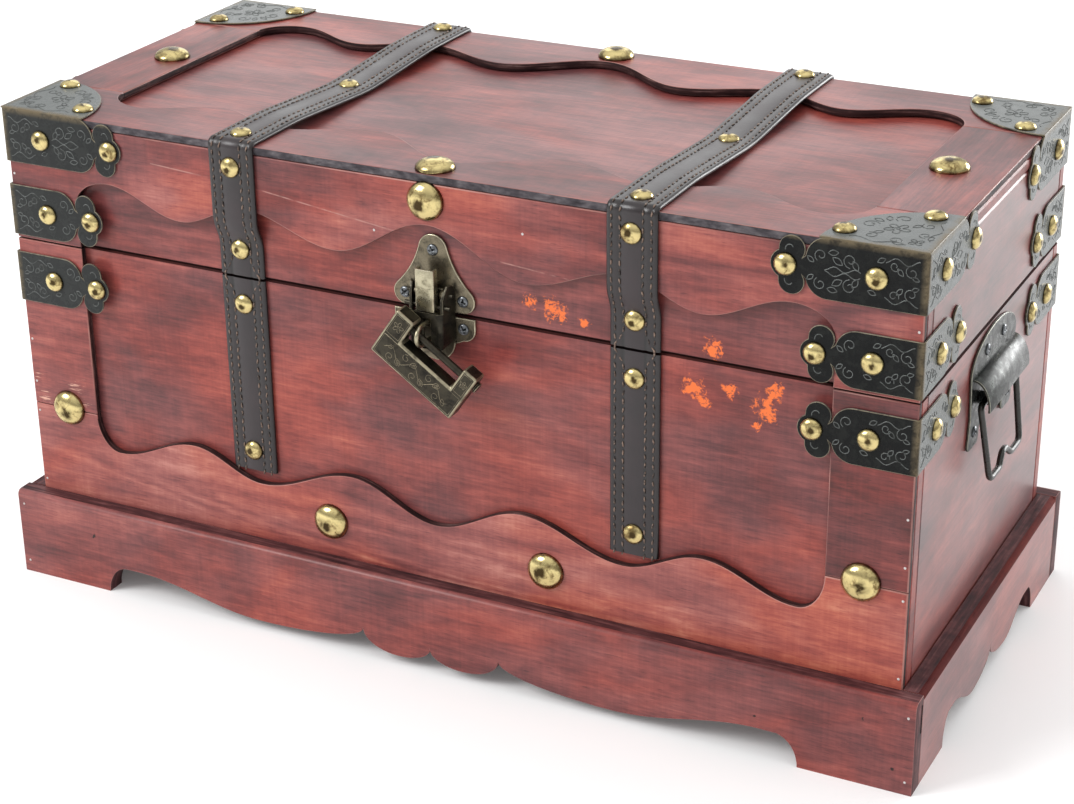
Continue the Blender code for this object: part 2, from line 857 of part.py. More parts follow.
def wing_outline(flower, start, upper_half):
    neck_x = flower - neck_back
    sides = []
    for side, half in ((1, upper_half), (-1, wing_half)):
        curve = arc((neck_x - shoulder, half - shoulder), shoulder, 90, 0, shoulder_points)
        line = [(start, half)] + [p for p in curve if p[1] > neck_half] + [(neck_x, neck_half)]
        sides.append([(s, side * t) for s, t in line])
    upper, lower = sides
    return lower + flower_outline(flower) + upper[::-1]


def make_bracket(name, side_x, side_y, height, flower, with_leaf=False):
    """Two wings round an upright corner and, on the lid's top corners, a quarter disc."""
    start = -(fit + sheet)
    upper_half = chest_height + fit + sheet - height if with_leaf else wing_half
    wing = wing_outline(flower, start, upper_half)
    end_face, end_sign = ("front", side_x) if side_y < 0 else ("back", -side_x)
    side_face, side_sign = ("right", side_y) if side_x > 0 else ("left", -side_y)
    solids = []
    for face, half, sign in ((end_face, half_width, end_sign), (side_face, half_depth, side_sign)):
        placed = [(sign * (half - s), height + t) for s, t in wing]
        solids.append(slab(name + face, placed, sheet, face_frame(face, fit + sheet / 2)))
        places = [(sign * (half - s), height) for s in (flower, wing_near_nail)]
        solids.append(small_nails(face_frame(face, fit + sheet), places))
    if with_leaf:
        leaf = [(start, start), (leaf_radius, start)] + arc((0.0, 0.0), leaf_radius, 0, 90, leaf_points)
        leaf += [(start, leaf_radius)]
        placed = [(side_x * (half_width - s), side_y * (half_depth - t)) for s, t in leaf]
        solids.append(slab(name + "_leaf", placed, sheet, face_frame("top", fit + sheet / 2)))
        places = [(side_x * (half_width - s), side_y * (half_depth - t))
                  for s, t in ((leaf_nail_far, leaf_nail_near), (leaf_nail_near, leaf_nail_far))]
        solids.append(small_nails(face_frame("top", fit + sheet), places))
    node(name, combine(solids[0], solids[1:]), "blackened_metal")


def make_brackets():
    corners = (("front_left", -1, -1), ("front_right", 1, -1), ("back_left", -1, 1), ("back_right", 1, 1))
    for corner, side_x, side_y in corners:
        make_bracket("lid_corner_" + corner, side_x, side_y, chest_height - corner_wing_drop,
                     corner_flower, True)
        make_bracket("lid_bracket_" + corner, side_x, side_y, lid_bottom + lid_bracket_rise, lower_flower)
        make_bracket("body_bracket_" + corner, side_x, side_y, seam_height - body_bracket_drop, lower_flower)


# Hinges.
def hinge_leaf(name, x, way):
    """A leaf with its share of the knuckles: way is 1 on the lid and -1 on the body."""
    half = hinge_width / 2
    clear = knuckle_radius + knuckle_gap
    gap = knuckle_half + knuckle_gap
    if way > 0:
        tab = knuckle_half - tab_inset
        line = [(-half, clear + tab_inset), (-tab, clear), (-tab, 0.0), (tab, 0.0), (tab, clear),
                (half, clear + tab_inset)]
        barrels = ((-knuckle_half, knuckle_half),)
    else:
        near, far = gap + tab_inset, half - tab_inset
        line = [(-half, clear), (-far, clear), (-far, 0.0), (-near, 0.0), (-near, clear),
                (near, clear), (near, 0.0), (far, 0.0), (far, clear), (half, clear)]
        barrels = ((-half, -gap), (gap, half))
    line += [(half, leaf_height), (-half, leaf_height)]
    placed = [(-x + s, hinge_z + way * t) for s, t in line]
    solid = slab(name, placed, leaf_sheet, face_frame("back", fit + leaf_sheet / 2))
    knuckles = [rod(name + "_knuckle", knuckle_radius, (x + a, hinge_y, hinge_z), (x + b, hinge_y, hinge_z))
                for a, b in barrels]
    places = [(-x + s, hinge_z + way * hinge_screw_rise) for s in (-hinge_screw_x, hinge_screw_x)]
    heads = screw_heads(face_frame("back", fit + leaf_sheet), places)
    combine(solid, knuckles + [heads])
    cut(solid, [cross_rod(name + "_bore", pin_radius + fit, (x, hinge_y, hinge_z), half + overrun)])
    node(name, solid, "hinge_brass")


def make_hinge(side, x):
    hinge_leaf("hinge_body_leaf_" + side, x, -1)
    hinge_leaf("hinge_lid_leaf_" + side, x, 1)
    half = hinge_width / 2 + knuckle_gap
    centre = (x, hinge_y, hinge_z)
    name = "hinge_pin_" + side
    pin = cross_rod(name, pin_radius, centre, half + pin_head / 2)
    heads = [rod(name + "_head", pin_head_radius, (x + s * half, hinge_y, hinge_z),
                 (x + s * (half + pin_head), hinge_y, hinge_z)) for s in (-1, 1)]
    node(name, combine(pin, heads), "hinge_brass")


# Latch.
def plate_frame(depth):
    """A plane in front of the latch plates, seen from the front, at the latch's middle."""
    return frame_of((1, 0, 0), (0, 0, 1), (latch_x, plate_face_y - depth, 0))


def plan_frame(low, high):
    """A level plane halfway between two heights, whose up is the way out from the plates."""
    return frame_of((1, 0, 0), (0, -1, 0), (latch_x, latch_y, (low + high) / 2))


def side_profile(points):
    """Depths out from the lever's back edge and heights over the seam, as world Y and Z."""
    return [(latch_y - depth, seam_height + rise) for depth, rise in points]


def make_catch_plate():
    """The plate on the lid, with the sloping tongue that the link closes over."""
    low = lid_bottom + catch_plate_rise
    corner_z = low + plate_corner
    top_z = low + catch_plate_height
    half = arc((plate_screw_x, corner_z), plate_corner, -90, 30, 5)
    half += [(catch_waist, low + catch_waist_rise)]
    half += arc((0.0, top_z), catch_top_radius, 15, 90, 4)
    outline = half + [(-x, z) for x, z in half[-2::-1]]
    solid = slab("latch_catch_plate", outline, latch_plate, plate_frame(-latch_plate / 2))
    tip = lever_depth - lever_sheet - catch_room
    half_thick = catch_thickness / 2
    tongue = [(-lever_gap - nail_root, catch_rise - half_thick),
              (-lever_gap - nail_root, catch_rise + half_thick),
              (tip, catch_rise + catch_slope + half_thick), (tip, catch_rise + catch_slope - half_thick)]
    tongue = slab("tongue", side_profile(tongue), 2 * catch_half, section_frame(latch_x))
    places = [(0.0, top_z), (plate_screw_x, corner_z), (-plate_screw_x, corner_z)]
    heads = screw_heads(plate_frame(0.0), places)
    node("latch_catch_plate", combine(solid, [tongue, heads]), "old_bronze")


def slot_cutter():
    """The opening round the staple, through the lever and the neck of the base plate."""
    half_high = staple_bend + staple_wire + slot_clearance
    half_wide = staple_wire + slot_clearance
    low = (staple_x - half_wide, lever_front_y - overrun, staple_z - half_high)
    return box("slot", low, (staple_x + half_wide, plate_face_y, staple_z + half_high))


def make_base_plate():
    """The plate on the body: a neck reaches up past the seam and carries the lever's ears."""
    top = seam_height - fit
    low = top - base_plate_height
    corner_z = low + plate_corner
    outline = [(plate_screw_x + plate_corner, top)] + arc((plate_screw_x, corner_z), plate_corner, 0, -90, 4)
    outline += arc((0.0, seam_height - base_lobe_drop), base_lobe_radius, 0, -180, 9)
    outline += [(-x, z) for x, z in reversed(arc((plate_screw_x, corner_z), plate_corner, 0, -90, 4))]
    outline += [(-plate_screw_x - plate_corner, top)]
    solid = slab("latch_base_plate", outline, latch_plate, plate_frame(-latch_plate / 2))
    half = lever_half - ear_inset
    rise = lever_pivot_rise + ear_radius
    foot = [(-lever_gap - neck_root, -neck_foot), (neck_thickness, -neck_foot), (neck_thickness, rise),
            (0.0, rise), (0.0, -fit), (-lever_gap - neck_root, -fit)]
    neck = slab("neck", side_profile(foot), 2 * half, section_frame(latch_x))
    cut(neck, [slot_cutter()])
    ear_line = [(neck_thickness - neck_root, lever_pivot_rise - ear_foot)]
    ear_line += arc((lever_pivot_depth, lever_pivot_rise), ear_radius, -45, 90, 5)
    ear_line += [(neck_thickness - neck_root, rise)]
    ears = [slab("ear", side_profile(ear_line), ear_thickness,
                 section_frame(latch_x + s * (half - ear_thickness / 2))) for s in (-1, 1)]
    heads = screw_heads(plate_frame(0.0), [(plate_screw_x, corner_z), (-plate_screw_x, corner_z)])
    combine(solid, [neck, *ears, heads])
    cut(solid, [cross_rod("ear_bore", lever_pin_radius + fit, lever_pivot, lever_half)])
    node("latch_base_plate", solid, "old_bronze")


def channel_outline(half, splay, depth, thickness, bend):
    """A channel in plan: its web is at the given depth and its flanges open towards zero."""
    corner = arc((half - bend, depth - bend), bend, 0, 90, 3)
    outer = [(half + splay, 0.0)] + corner + [(-x, d) for x, d in reversed(corner)] + [(-half - splay, 0.0)]
    inner = [(thickness - half - splay, 0.0), (thickness - half, depth - thickness),
             (half - thickness, depth - thickness), (half + splay - thickness, 0.0)]
    return outer + inner


def make_lever():
    low, high = seam_height - lever_bottom, seam_height + lever_top
    plan = channel_outline(lever_half, lever_splay, lever_depth, lever_sheet, lever_round)
    solid = slab("latch_lever", plan, high - low, plan_frame(low, high))
    inside = lever_depth - lever_sheet - fit
    profile = [(-overrun, lever_foot_slope - lever_bottom), (0.0, lever_foot_slope - lever_bottom),
               (lever_depth, -lever_bottom), (lever_depth + overrun, -lever_bottom),
               (lever_depth + overrun, web_top), (inside, web_top), (inside, lever_shoulder),
               (lever_head_front, lever_top), (lever_head_back, lever_top),
               (0.0, lever_top - lever_head_slope), (-overrun, lever_top - lever_head_slope)]
    width = 2 * (lever_half + lever_splay + overrun)
    keep = slab("keep", side_profile(profile), width, section_frame(latch_x))
    combine(solid, [keep], "INTERSECT")
    reach = lever_half + lever_splay + overrun
    bore = lever_pin_radius + fit
    cut(solid, [slot_cutter(), cross_rod("pivot_bore", bore, lever_pivot, reach),
                cross_rod("link_bore", bore, link_pivot, reach)])
    node("latch_lever", solid, "old_bronze", lever_pivot)


def make_link():
    low = link_pivot[2] - link_foot
    high = low + link_height
    plan = channel_outline(link_half, 0.0, lever_depth, lever_sheet, link_round)
    solid = slab("latch_link", plan, high - low, plan_frame(low, high))
    x = link_half + overrun
    open_back = box("open_back", (latch_x - x, lever_front_y + link_depth, low - overrun),
                    (latch_x + x, latch_y + overrun, high + overrun))
    cut(solid, [open_back])
    pin = cross_rod("link_pin", lever_pin_radius, link_pivot, lever_half + lever_splay + lever_pin_out)
    node("latch_link", combine(solid, [pin]), "old_bronze", link_pivot)


def make_latch():
    make_catch_plate()
    make_base_plate()
    make_lever()
    make_link()
    reach = lever_half + lever_splay + lever_pin_out
    pin = cross_rod("latch_lever_pin", lever_pin_radius, lever_pivot, reach)
    node("latch_lever_pin", pin, "old_bronze")


def make_staple():
    """A round wire loop that stands out through the lever's slot."""
    end_y = plate_face_y - fit
    bend_y = bar_centre().y + staple_bend - staple_wire - bar_radius - bar_clearance
    loop = arc((bend_y, staple_z), staple_bend, 90, 270, staple_points)
    path = [(end_y, staple_z + staple_bend)] + loop + [(end_y, staple_z - staple_bend)]
    solid = wire("padlock_staple", [(staple_x, y, z) for y, z in path], staple_wire)
    node("padlock_staple", solid, "old_bronze")


# Padlock.
def padlock_axes():
    tilt = math.radians(padlock_tilt_deg)
    return Vector((math.cos(tilt), 0, -math.sin(tilt))), Vector((math.sin(tilt), 0, math.cos(tilt)))


def padlock_point(u, v, back=0.0):
    """A place in the padlock: u along it and v up it, from its outer corner."""
    along, up = padlock_axes()
    ring = Vector((staple_x, padlock_y, staple_z))
    return ring + along * (u - ring_place) + up * (v - bar_rise) + Vector((0, back, 0))


def bar_centre():
    return padlock_point(ring_place, bar_rise, bar_setback)


def make_padlock():
    along, up = padlock_axes()
    length, high = padlock_length, padlock_height
    outline = [(0.0, 0.0), (length, 0.0), (length, high), (length - padlock_far_post, high),
               (length - padlock_far_post, padlock_block), (padlock_post, padlock_block),
               (padlock_post, high), (0.0, high)]
    body = slab("padlock_body", outline, padlock_thickness, frame_of(along, up, padlock_point(0.0, 0.0)))
    softened(body, padlock_edge)
    bore_start = padlock_point(padlock_post - bar_socket, bar_rise, bar_setback)
    bore_end = padlock_point(length + overrun, bar_rise, bar_setback)
    cut(body, [rod("bar_bore", bar_radius + bar_clearance, bore_start, bore_end)])
    node("padlock_body", body, "old_bronze", bar_centre())
    bar_start = padlock_point(padlock_post - bar_socket + bar_clearance, bar_rise, bar_setback)
    head_start = padlock_point(length + bar_clearance, bar_rise, bar_setback)
    head_end = head_start + along * bar_head
    bar = rod("padlock_bolt", bar_radius, bar_start, head_start + along * bar_head / 2)
    combine(bar, [rod("bar_head", bar_head_radius, head_start, head_end)])
    node("padlock_bolt", bar, "old_bronze", bar_centre())


# Side handles. Outlines are in the face's own right and up, from the bail's axis.
def handle_outline():
    top = oval((0.0, handle_shoulder_rise), handle_half, handle_top_rise - handle_shoulder_rise,
               90, 0, handle_arch_points)
    outer, inner = handle_foot_out + handle_foot_half, handle_foot_out - handle_foot_half
    foot_low = -handle_foot_drop
    foot = [(handle_waist, -handle_waist_drop), (outer, foot_low + handle_foot_round),
            (outer - handle_foot_round, foot_low), (inner + handle_foot_round, foot_low),
            (inner, foot_low + handle_foot_round)]
    arch = oval((0.0, foot_low + handle_foot_round), inner, handle_foot_drop - handle_foot_round
                - handle_arch_drop, 0, 90, handle_arch_points)[1:]
    half = top + foot + arch
    return half + [(-y, z) for y, z in half[-2:0:-1]]


def out_profile(face, points):
    """Distances out from the handle plate and heights over the bail's axis, in world X and Z."""
    way = 1 if face == "right" else -1
    return [(way * (half_width + handle_face + out), handle_axis_height + rise) for out, rise in points]


def level_frame(y):
    return frame_of((1, 0, 0), (0, 0, 1), (0, middle_y + y, 0))


def make_handle_plate(name, face):
    placed = [(y, handle_axis_height + z) for y, z in handle_outline()]
    solid = slab(name, placed, handle_sheet, face_frame(face, fit + handle_sheet / 2))
    root = -handle_sheet / 2
    outer = oval((0.0, 0.0), hood_reach, hood_rise, 90, 0, hood_points) + [(hood_reach, -hood_lip)]
    inner_reach, inner_rise = hood_reach - handle_sheet, hood_rise - handle_sheet
    inner = [(inner_reach, -hood_lip)] + oval((0.0, 0.0), inner_reach, inner_rise, 0, 90, hood_points)
    section = [(root, hood_rise)] + outer[1:] + inner[:-1] + [(root, inner_rise)]
    hood = slab(name + "_hood", out_profile(face, section), 2 * hood_half, level_frame(0.0))
    ear = [(root, -handle_ear_radius)] + arc((axis_stand, 0.0), handle_ear_radius, -90, 90, 7)
    ear += [(root, handle_ear_radius)]
    ears = [slab(name + "_ear", out_profile(face, ear), handle_sheet, level_frame(s * handle_ear_out))
            for s in (-1, 1)]
    screws = ((handle_upper_screw_out, handle_upper_screw_rise),
              (handle_lower_screw_out, -handle_lower_screw_drop))
    places = [(s * y, handle_axis_height + z) for s in (-1, 1) for y, z in screws]
    heads = screw_heads(face_frame(face, handle_face), places)
    combine(solid, [hood, *ears, heads])
    x = out_profile(face, [(axis_stand, 0.0)])[0][0]
    bore = rod(name + "_bore", bail_wire + fit, (x, middle_y - hood_half, handle_axis_height),
               (x, middle_y + hood_half, handle_axis_height))
    cut(solid, [bore])
    node(name, solid, "blackened_metal")


def make_bail(name, face):
    """A bent wire that hangs from the ears and leans a little way out."""
    half = [(bail_bump_flat, bail_bump - bail_length), (bail_bump_half, -bail_length),
            (bail_foot_half, -bail_length), (bail_half, 0.0), (bail_end, 0.0)]
    line = [(-y, d) for y, d in reversed(half)] + half
    path = eased(line, bail_round / 2, bail_points)
    tilt = math.radians(bail_tilt_deg)
    way = 1 if face == "right" else -1
    x = half_width + handle_face + axis_stand
    points = [(way * (x - d * math.sin(tilt)), middle_y + y, handle_axis_height + d * math.cos(tilt))
              for y, d in path]
    node(name, wire(name, points, bail_wire), "blackened_metal", (way * x, middle_y, handle_axis_height))


def main():
    make_plinth()
    make_box("body_", body_bottom, seam_height)
    make_box("lid_", lid_bottom, lid_wall_top)
    make_boards()
    make_rail()
    make_stiles()
    make_valance()
    make_lid_frame()
    for side, x in (("left", -strap_x), ("right", strap_x)):
        make_lid_strap("lid_strap_" + side, x)
        make_body_strap("body_strap_" + side, x)
    make_brackets()
    for side, x in (("left", -hinge_x), ("right", hinge_x)):
        make_hinge(side, x)
    make_latch()
    make_staple()
    make_padlock()
    for side in ("left", "right"):
        make_handle_plate("handle_plate_" + side, side)
        make_bail("handle_bail_" + side, side)


main()
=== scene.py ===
# %% [markdown]
# # A wooden treasure chest
#
# The chest is a box of thin plywood, stained red like mahogany. Wavy boards are nailed on its front
# and round its lid, leather straps run over it, and stamped brackets guard its corners. A toggle
# latch with a small padlock closes it, and a wire handle hangs on each end.
#
# The frame holds the measured solids: their joints, places and sizes are settled there. These cells
# add the looks. Where a solid is only a plain form, a finer piece takes its place.

from math import atan2, cos, pi, radians, sin, sqrt, tau

import bmesh
import bpy
from mathutils import Matrix, Vector


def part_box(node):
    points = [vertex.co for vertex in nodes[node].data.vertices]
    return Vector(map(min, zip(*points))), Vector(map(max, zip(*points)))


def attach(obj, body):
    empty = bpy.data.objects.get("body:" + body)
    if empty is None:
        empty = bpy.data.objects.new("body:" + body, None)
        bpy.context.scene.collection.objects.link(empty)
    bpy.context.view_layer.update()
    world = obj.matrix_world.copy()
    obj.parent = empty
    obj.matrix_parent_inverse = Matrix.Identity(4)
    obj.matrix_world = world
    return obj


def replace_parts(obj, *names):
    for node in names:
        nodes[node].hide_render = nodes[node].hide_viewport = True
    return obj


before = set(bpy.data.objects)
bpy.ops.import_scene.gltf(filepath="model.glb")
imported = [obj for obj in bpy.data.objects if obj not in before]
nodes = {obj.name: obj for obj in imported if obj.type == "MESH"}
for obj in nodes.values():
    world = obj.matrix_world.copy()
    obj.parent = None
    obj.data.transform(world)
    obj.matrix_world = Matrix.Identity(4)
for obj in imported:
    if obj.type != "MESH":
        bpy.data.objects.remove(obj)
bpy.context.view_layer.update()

# %% [markdown]
# ## Sizes
#
# Everything is in metres. X runs along the front, Y to the back and Z up, with the origin on the
# floor. The planes come from the solids themselves, so each piece lands where the solid is.

# %% Planes of the chest
panel_low, panel_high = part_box("body_front_panel")
half_width = panel_high.x
body_bottom, seam = panel_low.z, panel_high.z
panel_y = panel_low.y
lid_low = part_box("lid_front_panel")[0].z
fit = 0.0003
board = 0.0042
recess = board + fit
front_y, back_y = panel_y - recess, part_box("body_back_panel")[1].y
middle_y = (front_y + back_y) / 2
half_depth = (back_y - front_y) / 2
top_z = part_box("lid_frame_front")[0].z + board
lid_roof = top_z - recess
lid_height = top_z - lid_low
stile_width = 0.041
opening = half_width - stile_width
print("front", round(front_y, 5), "back", round(back_y, 5), "seam", round(seam, 4))

# %% [markdown]
# ## Camera, floor and light
#
# The camera stands where a fit of the chest's corners to the photograph put it. The floor is wide
# and pale, so that it fills the picture. A pale sky, brighter overhead, gives even light. Three
# square panels of light, in front and behind, add the soft sheen that lacquer shows at a low angle.

# %% Camera
camera_place = Vector((0.53505, -1.04523, 0.64454))
azimuth, height_angle, roll = (radians(a) for a in (26.978, 24.666, -0.707))
away = Vector((sin(azimuth) * cos(height_angle), -cos(azimuth) * cos(height_angle),
               sin(height_angle)))
level = Vector((0, 0, 1)).cross(away).normalized()
upright = away.cross(level)
right = level * cos(roll) + upright * sin(roll)
up = upright * cos(roll) - level * sin(roll)


def in_scene(name, data):
    """A new object in the scene."""
    made = bpy.data.objects.new(name, data)
    bpy.context.scene.collection.objects.link(made)
    return made


lens = bpy.data.cameras.new("camera")
lens.sensor_width = 36
lens.lens = 79.844
camera = in_scene("camera", lens)
rows = [(right[i], up[i], away[i], camera_place[i]) for i in range(3)]
camera.matrix_world = Matrix(rows + [(0, 0, 0, 1)])
bpy.context.scene.camera = camera
bpy.context.scene.view_settings.view_transform = "Standard"
print("camera at", [round(c, 3) for c in camera_place])

# %% [markdown]
# ### Nodes in a line or two
#
# Materials and Geometry Nodes are both trees of nodes. Blender's own calls for them are long, so a
# few helpers make a node, link two sockets, and do one sum. A helper that makes a node gives back
# a pair, the node and its output, which the next helper takes as it stands.


# %% Node helpers
def fill(node, **values):
    """Sets a node's settings and the values of its inputs, both by name."""
    for key, value in values.items():
        if hasattr(node, key):
            setattr(node, key, value)
        else:
            node.inputs[key.replace("_", " ")].default_value = value


def add(tree, kind, at=(0, 0), **values):
    """A new node of a tree, filled in."""
    made = tree.nodes.new(kind)
    made.location = at
    fill(made, **values)
    return made


def join(start, end):
    """Links two sockets, given as (node, socket name or number) pairs."""
    end[0].id_data.links.new(start[0].outputs[start[1]], end[0].inputs[end[1]])


def is_pair(term):
    """True for a (node, socket) pair, and False for a number, a vector or a colour."""
    return isinstance(term, tuple) and isinstance(term[0], bpy.types.Node)


def tree_of(*terms):
    """The tree of the first pair among some terms, which may be numbers too."""
    return next(term[0].id_data for term in terms if is_pair(term))


def feed(node, socket, term):
    """Gives an input a number or a pair."""
    if is_pair(term):
        join(term, (node, socket))
    else:
        node.inputs[socket].default_value = term


def calc(operation, *terms, clamp=False):
    """A math node; a term is a number or a pair. Gives its output as a pair."""
    made = add(tree_of(*terms), "ShaderNodeMath", operation=operation, use_clamp=clamp)
    for i, term in enumerate(terms):
        feed(made, i, term)
    return made, 0


def parts(vector):
    """A node that splits a vector into its X, Y and Z."""
    made = add(tree_of(vector), "ShaderNodeSeparateXYZ")
    join(vector, (made, 0))
    return made


def level_range(value, low, high, new_low=0.0, new_high=1.0, smooth=False):
    """A value taken from one range to another, and held at its ends."""
    made = add(tree_of(value), "ShaderNodeMapRange", interpolation_type="SMOOTHSTEP" if smooth else "LINEAR")
    fill(made, From_Min=low, From_Max=high, To_Min=new_low, To_Max=new_high)
    join(value, (made, "Value"))
    return made, "Result"


def plain_material(name):
    """A material with its Principled shader, to be fed."""
    made = bpy.data.materials.new(name)
    made.use_nodes = True
    return made, made.node_tree, made.node_tree.nodes["Principled BSDF"]


def add_relief(shader, height, strength, distance):
    """Small bumps of a height, given as a pair, on a shader's surface."""
    bump = add(shader.id_data, "ShaderNodeBump", Strength=strength, Distance=distance)
    join(height, (bump, "Height"))
    join((bump, "Normal"), (shader, "Normal"))


print("node helpers:", [helper.__name__ for helper in (add, join, calc, level_range)])


# %% Floor and light
chest_middle = Vector((0, 0, 0.13))
floor_reach = 30.0


def lamp(name, place, size, power):
    """A square panel of light that faces the chest."""
    data = bpy.data.lights.new(name, "AREA")
    data.shape, data.size, data.energy = "SQUARE", size, power
    made = in_scene(name, data)
    made.location = place
    made.rotation_euler = (chest_middle - Vector(place)).to_track_quat("-Z", "Y").to_euler()


def make_floor():
    """A pale floor. It glows faintly where it is seen, directly or mirrored, so that it stays white."""
    mesh = bpy.data.meshes.new("floor")
    corners = [(x * floor_reach, y * floor_reach, 0) for x, y in ((-1, -1), (1, -1), (1, 1), (-1, 1))]
    mesh.from_pydata(corners, [], [(0, 1, 2, 3)])
    made = in_scene("floor", mesh)
    material, tree, shader = plain_material("pale_floor")
    fill(shader, Base_Color=(0.93, 0.93, 0.93, 1), Roughness=0.9, Specular_IOR_Level=0.1,
         Emission_Color=(1, 1, 1, 1))
    ray = add(tree, "ShaderNodeLightPath")
    seen = calc("ADD", (ray, "Is Camera Ray"), (ray, "Is Glossy Ray"))
    seen = calc("ADD", seen, (ray, "Is Transmission Ray"))
    join(calc("MULTIPLY", seen, 0.07), (shader, "Emission Strength"))
    mesh.materials.append(material)


def make_sky():
    """A white sky, brighter overhead, with a bright band at the horizon where it meets the floor."""
    world = bpy.data.worlds.new("pale_sky")
    bpy.context.scene.world = world
    world.use_nodes = True
    sky = world.node_tree.nodes["Background"]
    fill(sky, Color=(1, 1, 1, 1))
    tree = world.node_tree
    way = add(tree, "ShaderNodeTexCoord")
    split = parts((way, "Generated"))
    climb = calc("MULTIPLY_ADD", (split, "Z"), 0.95, 0.3)
    grazing_light = level_range(calc("ABSOLUTE", (split, "Z")), 0.1, 0.05, 0.3, 0.97)
    join(calc("MAXIMUM", climb, grazing_light), (sky, "Strength"))


make_floor()
make_sky()
lamp("front_panel", (-1.7, -1.8, 1.9), 1.3, 55)
lamp("back_panel", (-1.0, 2.2, 1.3), 1.6, 9)
lamp("right_panel", (1.35, 2.4, 0.55), 1.5, 58)

# %% [markdown]
# ## Building boards and sheets
#
# Nearly every part of the chest was cut from a flat board or sheet. So one maker does most of the
# work: it takes an outline, gives it a thickness, and rounds its edges with a small bevel. The flat
# faces, the rounded arris and the cut edge become three kinds of face, because a plywood edge
# doesn't look like its face, and metal wears pale along its rim. A Solidify and a Bevel modifier
# could do this too, but mesh code also marks the arris, so that a finish can find it.


# %% Frames for outlines
def frame_of(across, upward, origin):
    """A plane in space: an outline's right and up, with its thickness outwards."""
    across, upward = Vector(across), Vector(upward)
    way = across.cross(upward)
    return Matrix([(across[i], upward[i], way[i], origin[i]) for i in range(3)] + [(0, 0, 0, 1)])


def face_frame(face, out=0.0):
    """The plane of one of the chest's outer faces, or one that lies so far out from it."""
    if face == "front":
        return frame_of((1, 0, 0), (0, 0, 1), (0, front_y - out, 0))
    if face == "back":
        return frame_of((-1, 0, 0), (0, 0, 1), (0, back_y + out, 0))
    if face == "right":
        return frame_of((0, 1, 0), (0, 0, 1), (half_width + out, middle_y, 0))
    if face == "left":
        return frame_of((0, -1, 0), (0, 0, 1), (-half_width - out, middle_y, 0))
    return frame_of((1, 0, 0), (0, 1, 0), (0, middle_y, top_z + out))


print("faces of the chest:", [tuple(round(c, 4) for c in face_frame(f).translation)
                              for f in ("front", "back", "left", "right", "top")])


# %% Boards and sheets from an outline
def new_piece(name, mesh, body, slot, *materials):
    """Puts a finished mesh in the scene, on its body, with its materials."""
    made = in_scene(name, mesh)
    for material in materials:
        mesh.materials.append(material)
    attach(made, body)
    return made


def kept_mesh(work, name, mesh=None):
    """The mesh that a bmesh describes, which is used up."""
    made = mesh or bpy.data.meshes.new(name)
    work.to_mesh(made)
    work.free()
    return made


flat_face, same_place = 0.999, 1e-7


def slab_mesh(outline, thickness, place, bevel=0.0006, steps=2):
    """An outline from its frame's plane outwards. Material 0 is the faces, 1 the cut edge; the
    face attribute rim is 1 on the rounded arris."""
    work = bmesh.new()
    ring = [work.verts.new((*p, 0.0)) for p in outline]
    low = work.faces.new(ring)
    if low.normal.z > 0 or sum(a[0] * b[1] - b[0] * a[1] for a, b in
                               zip(outline, outline[1:] + outline[:1])) > 0:
        low.normal_flip()
    top = bmesh.ops.extrude_face_region(work, geom=[low])
    bmesh.ops.translate(work, vec=(0, 0, thickness),
                        verts=[v for v in top["geom"] if isinstance(v, bmesh.types.BMVert)])
    bmesh.ops.recalc_face_normals(work, faces=work.faces)
    rim = work.faces.layers.float.new("rim")
    if bevel:
        work.normal_update()
        edges = [e for e in work.edges if abs(e.verts[0].co.z - e.verts[1].co.z) < same_place]
        made = bmesh.ops.bevel(work, geom=edges, offset=bevel, segments=steps, affect="EDGES",
                               profile=0.5, clamp_overlap=True)
        for face in made["faces"]:
            face[rim] = 1.0
    work.normal_update()
    for face in work.faces:
        face.material_index = 0 if abs(face.normal.z) > 0.4 else 1
        face.smooth = face.normal.z ** 2 < flat_face
    for edge in work.edges:
        flat = [f for f in edge.link_faces if f.normal.z ** 2 > flat_face]
        edge.smooth = not flat and edge.calc_face_angle(0.0) < radians(40)
    bmesh.ops.transform(work, matrix=place, verts=work.verts)
    return kept_mesh(work, "slab")


def joined(meshes):
    """One mesh from several, with their attributes."""
    work = bmesh.new()
    for mesh in meshes:
        work.from_mesh(mesh)
        bpy.data.meshes.remove(mesh)
    return kept_mesh(work, "joined")


# %% Outlines
def arc(centre, wide, high, start, end, count):
    """Points of an ellipse, in degrees, both ends included."""
    angles = [radians(start + (end - start) * i / (count - 1)) for i in range(count)]
    return [(centre[0] + wide * cos(a), centre[1] + high * sin(a)) for a in angles]


def mirrored(half_points):
    """A whole line from left to right, from its half that starts at the middle."""
    return [(-x, y) for x, y in reversed(half_points[1:])] + half_points


def wave_half(shares, half, height, end_share, steps=14):
    """A wave from the middle to the edge of an opening, with a rounded corner at the edge."""
    points = []
    for (x0, h0), (x1, h1) in zip(shares, shares[1:]):
        for i in range(steps):
            t = i / steps
            ease = (1 - cos(pi * t)) / 2
            points.append(((x0 + (x1 - x0) * t) * half, (h0 + (h1 - h0) * ease) * height))
    x0, h0 = shares[-1]
    for i in range(steps + 1):
        a = pi / 2 * i / steps
        points.append(((x0 + (1 - x0) * sin(a)) * half,
                       (h0 + (end_share - h0) * (1 - cos(a))) * height))
    return points


print("a quarter circle in three points:", arc((0, 0), 1, 1, 0, 90, 3))

# %% [markdown]
# ## Stained plywood
#
# The boards are peeled plywood under a red stain. Seen close, four things lie over each other: big
# cloudy patches where the stain took unevenly, long streaks with the grain, fine fibres, and faint
# lines across the grain from the peeling knife. A broad, warped ring pattern gives the arched
# figure of a flat-sawn board. All are noise, stretched by different amounts, so one node group can
# serve every board; each board turns and shifts it, and picks its own tone.


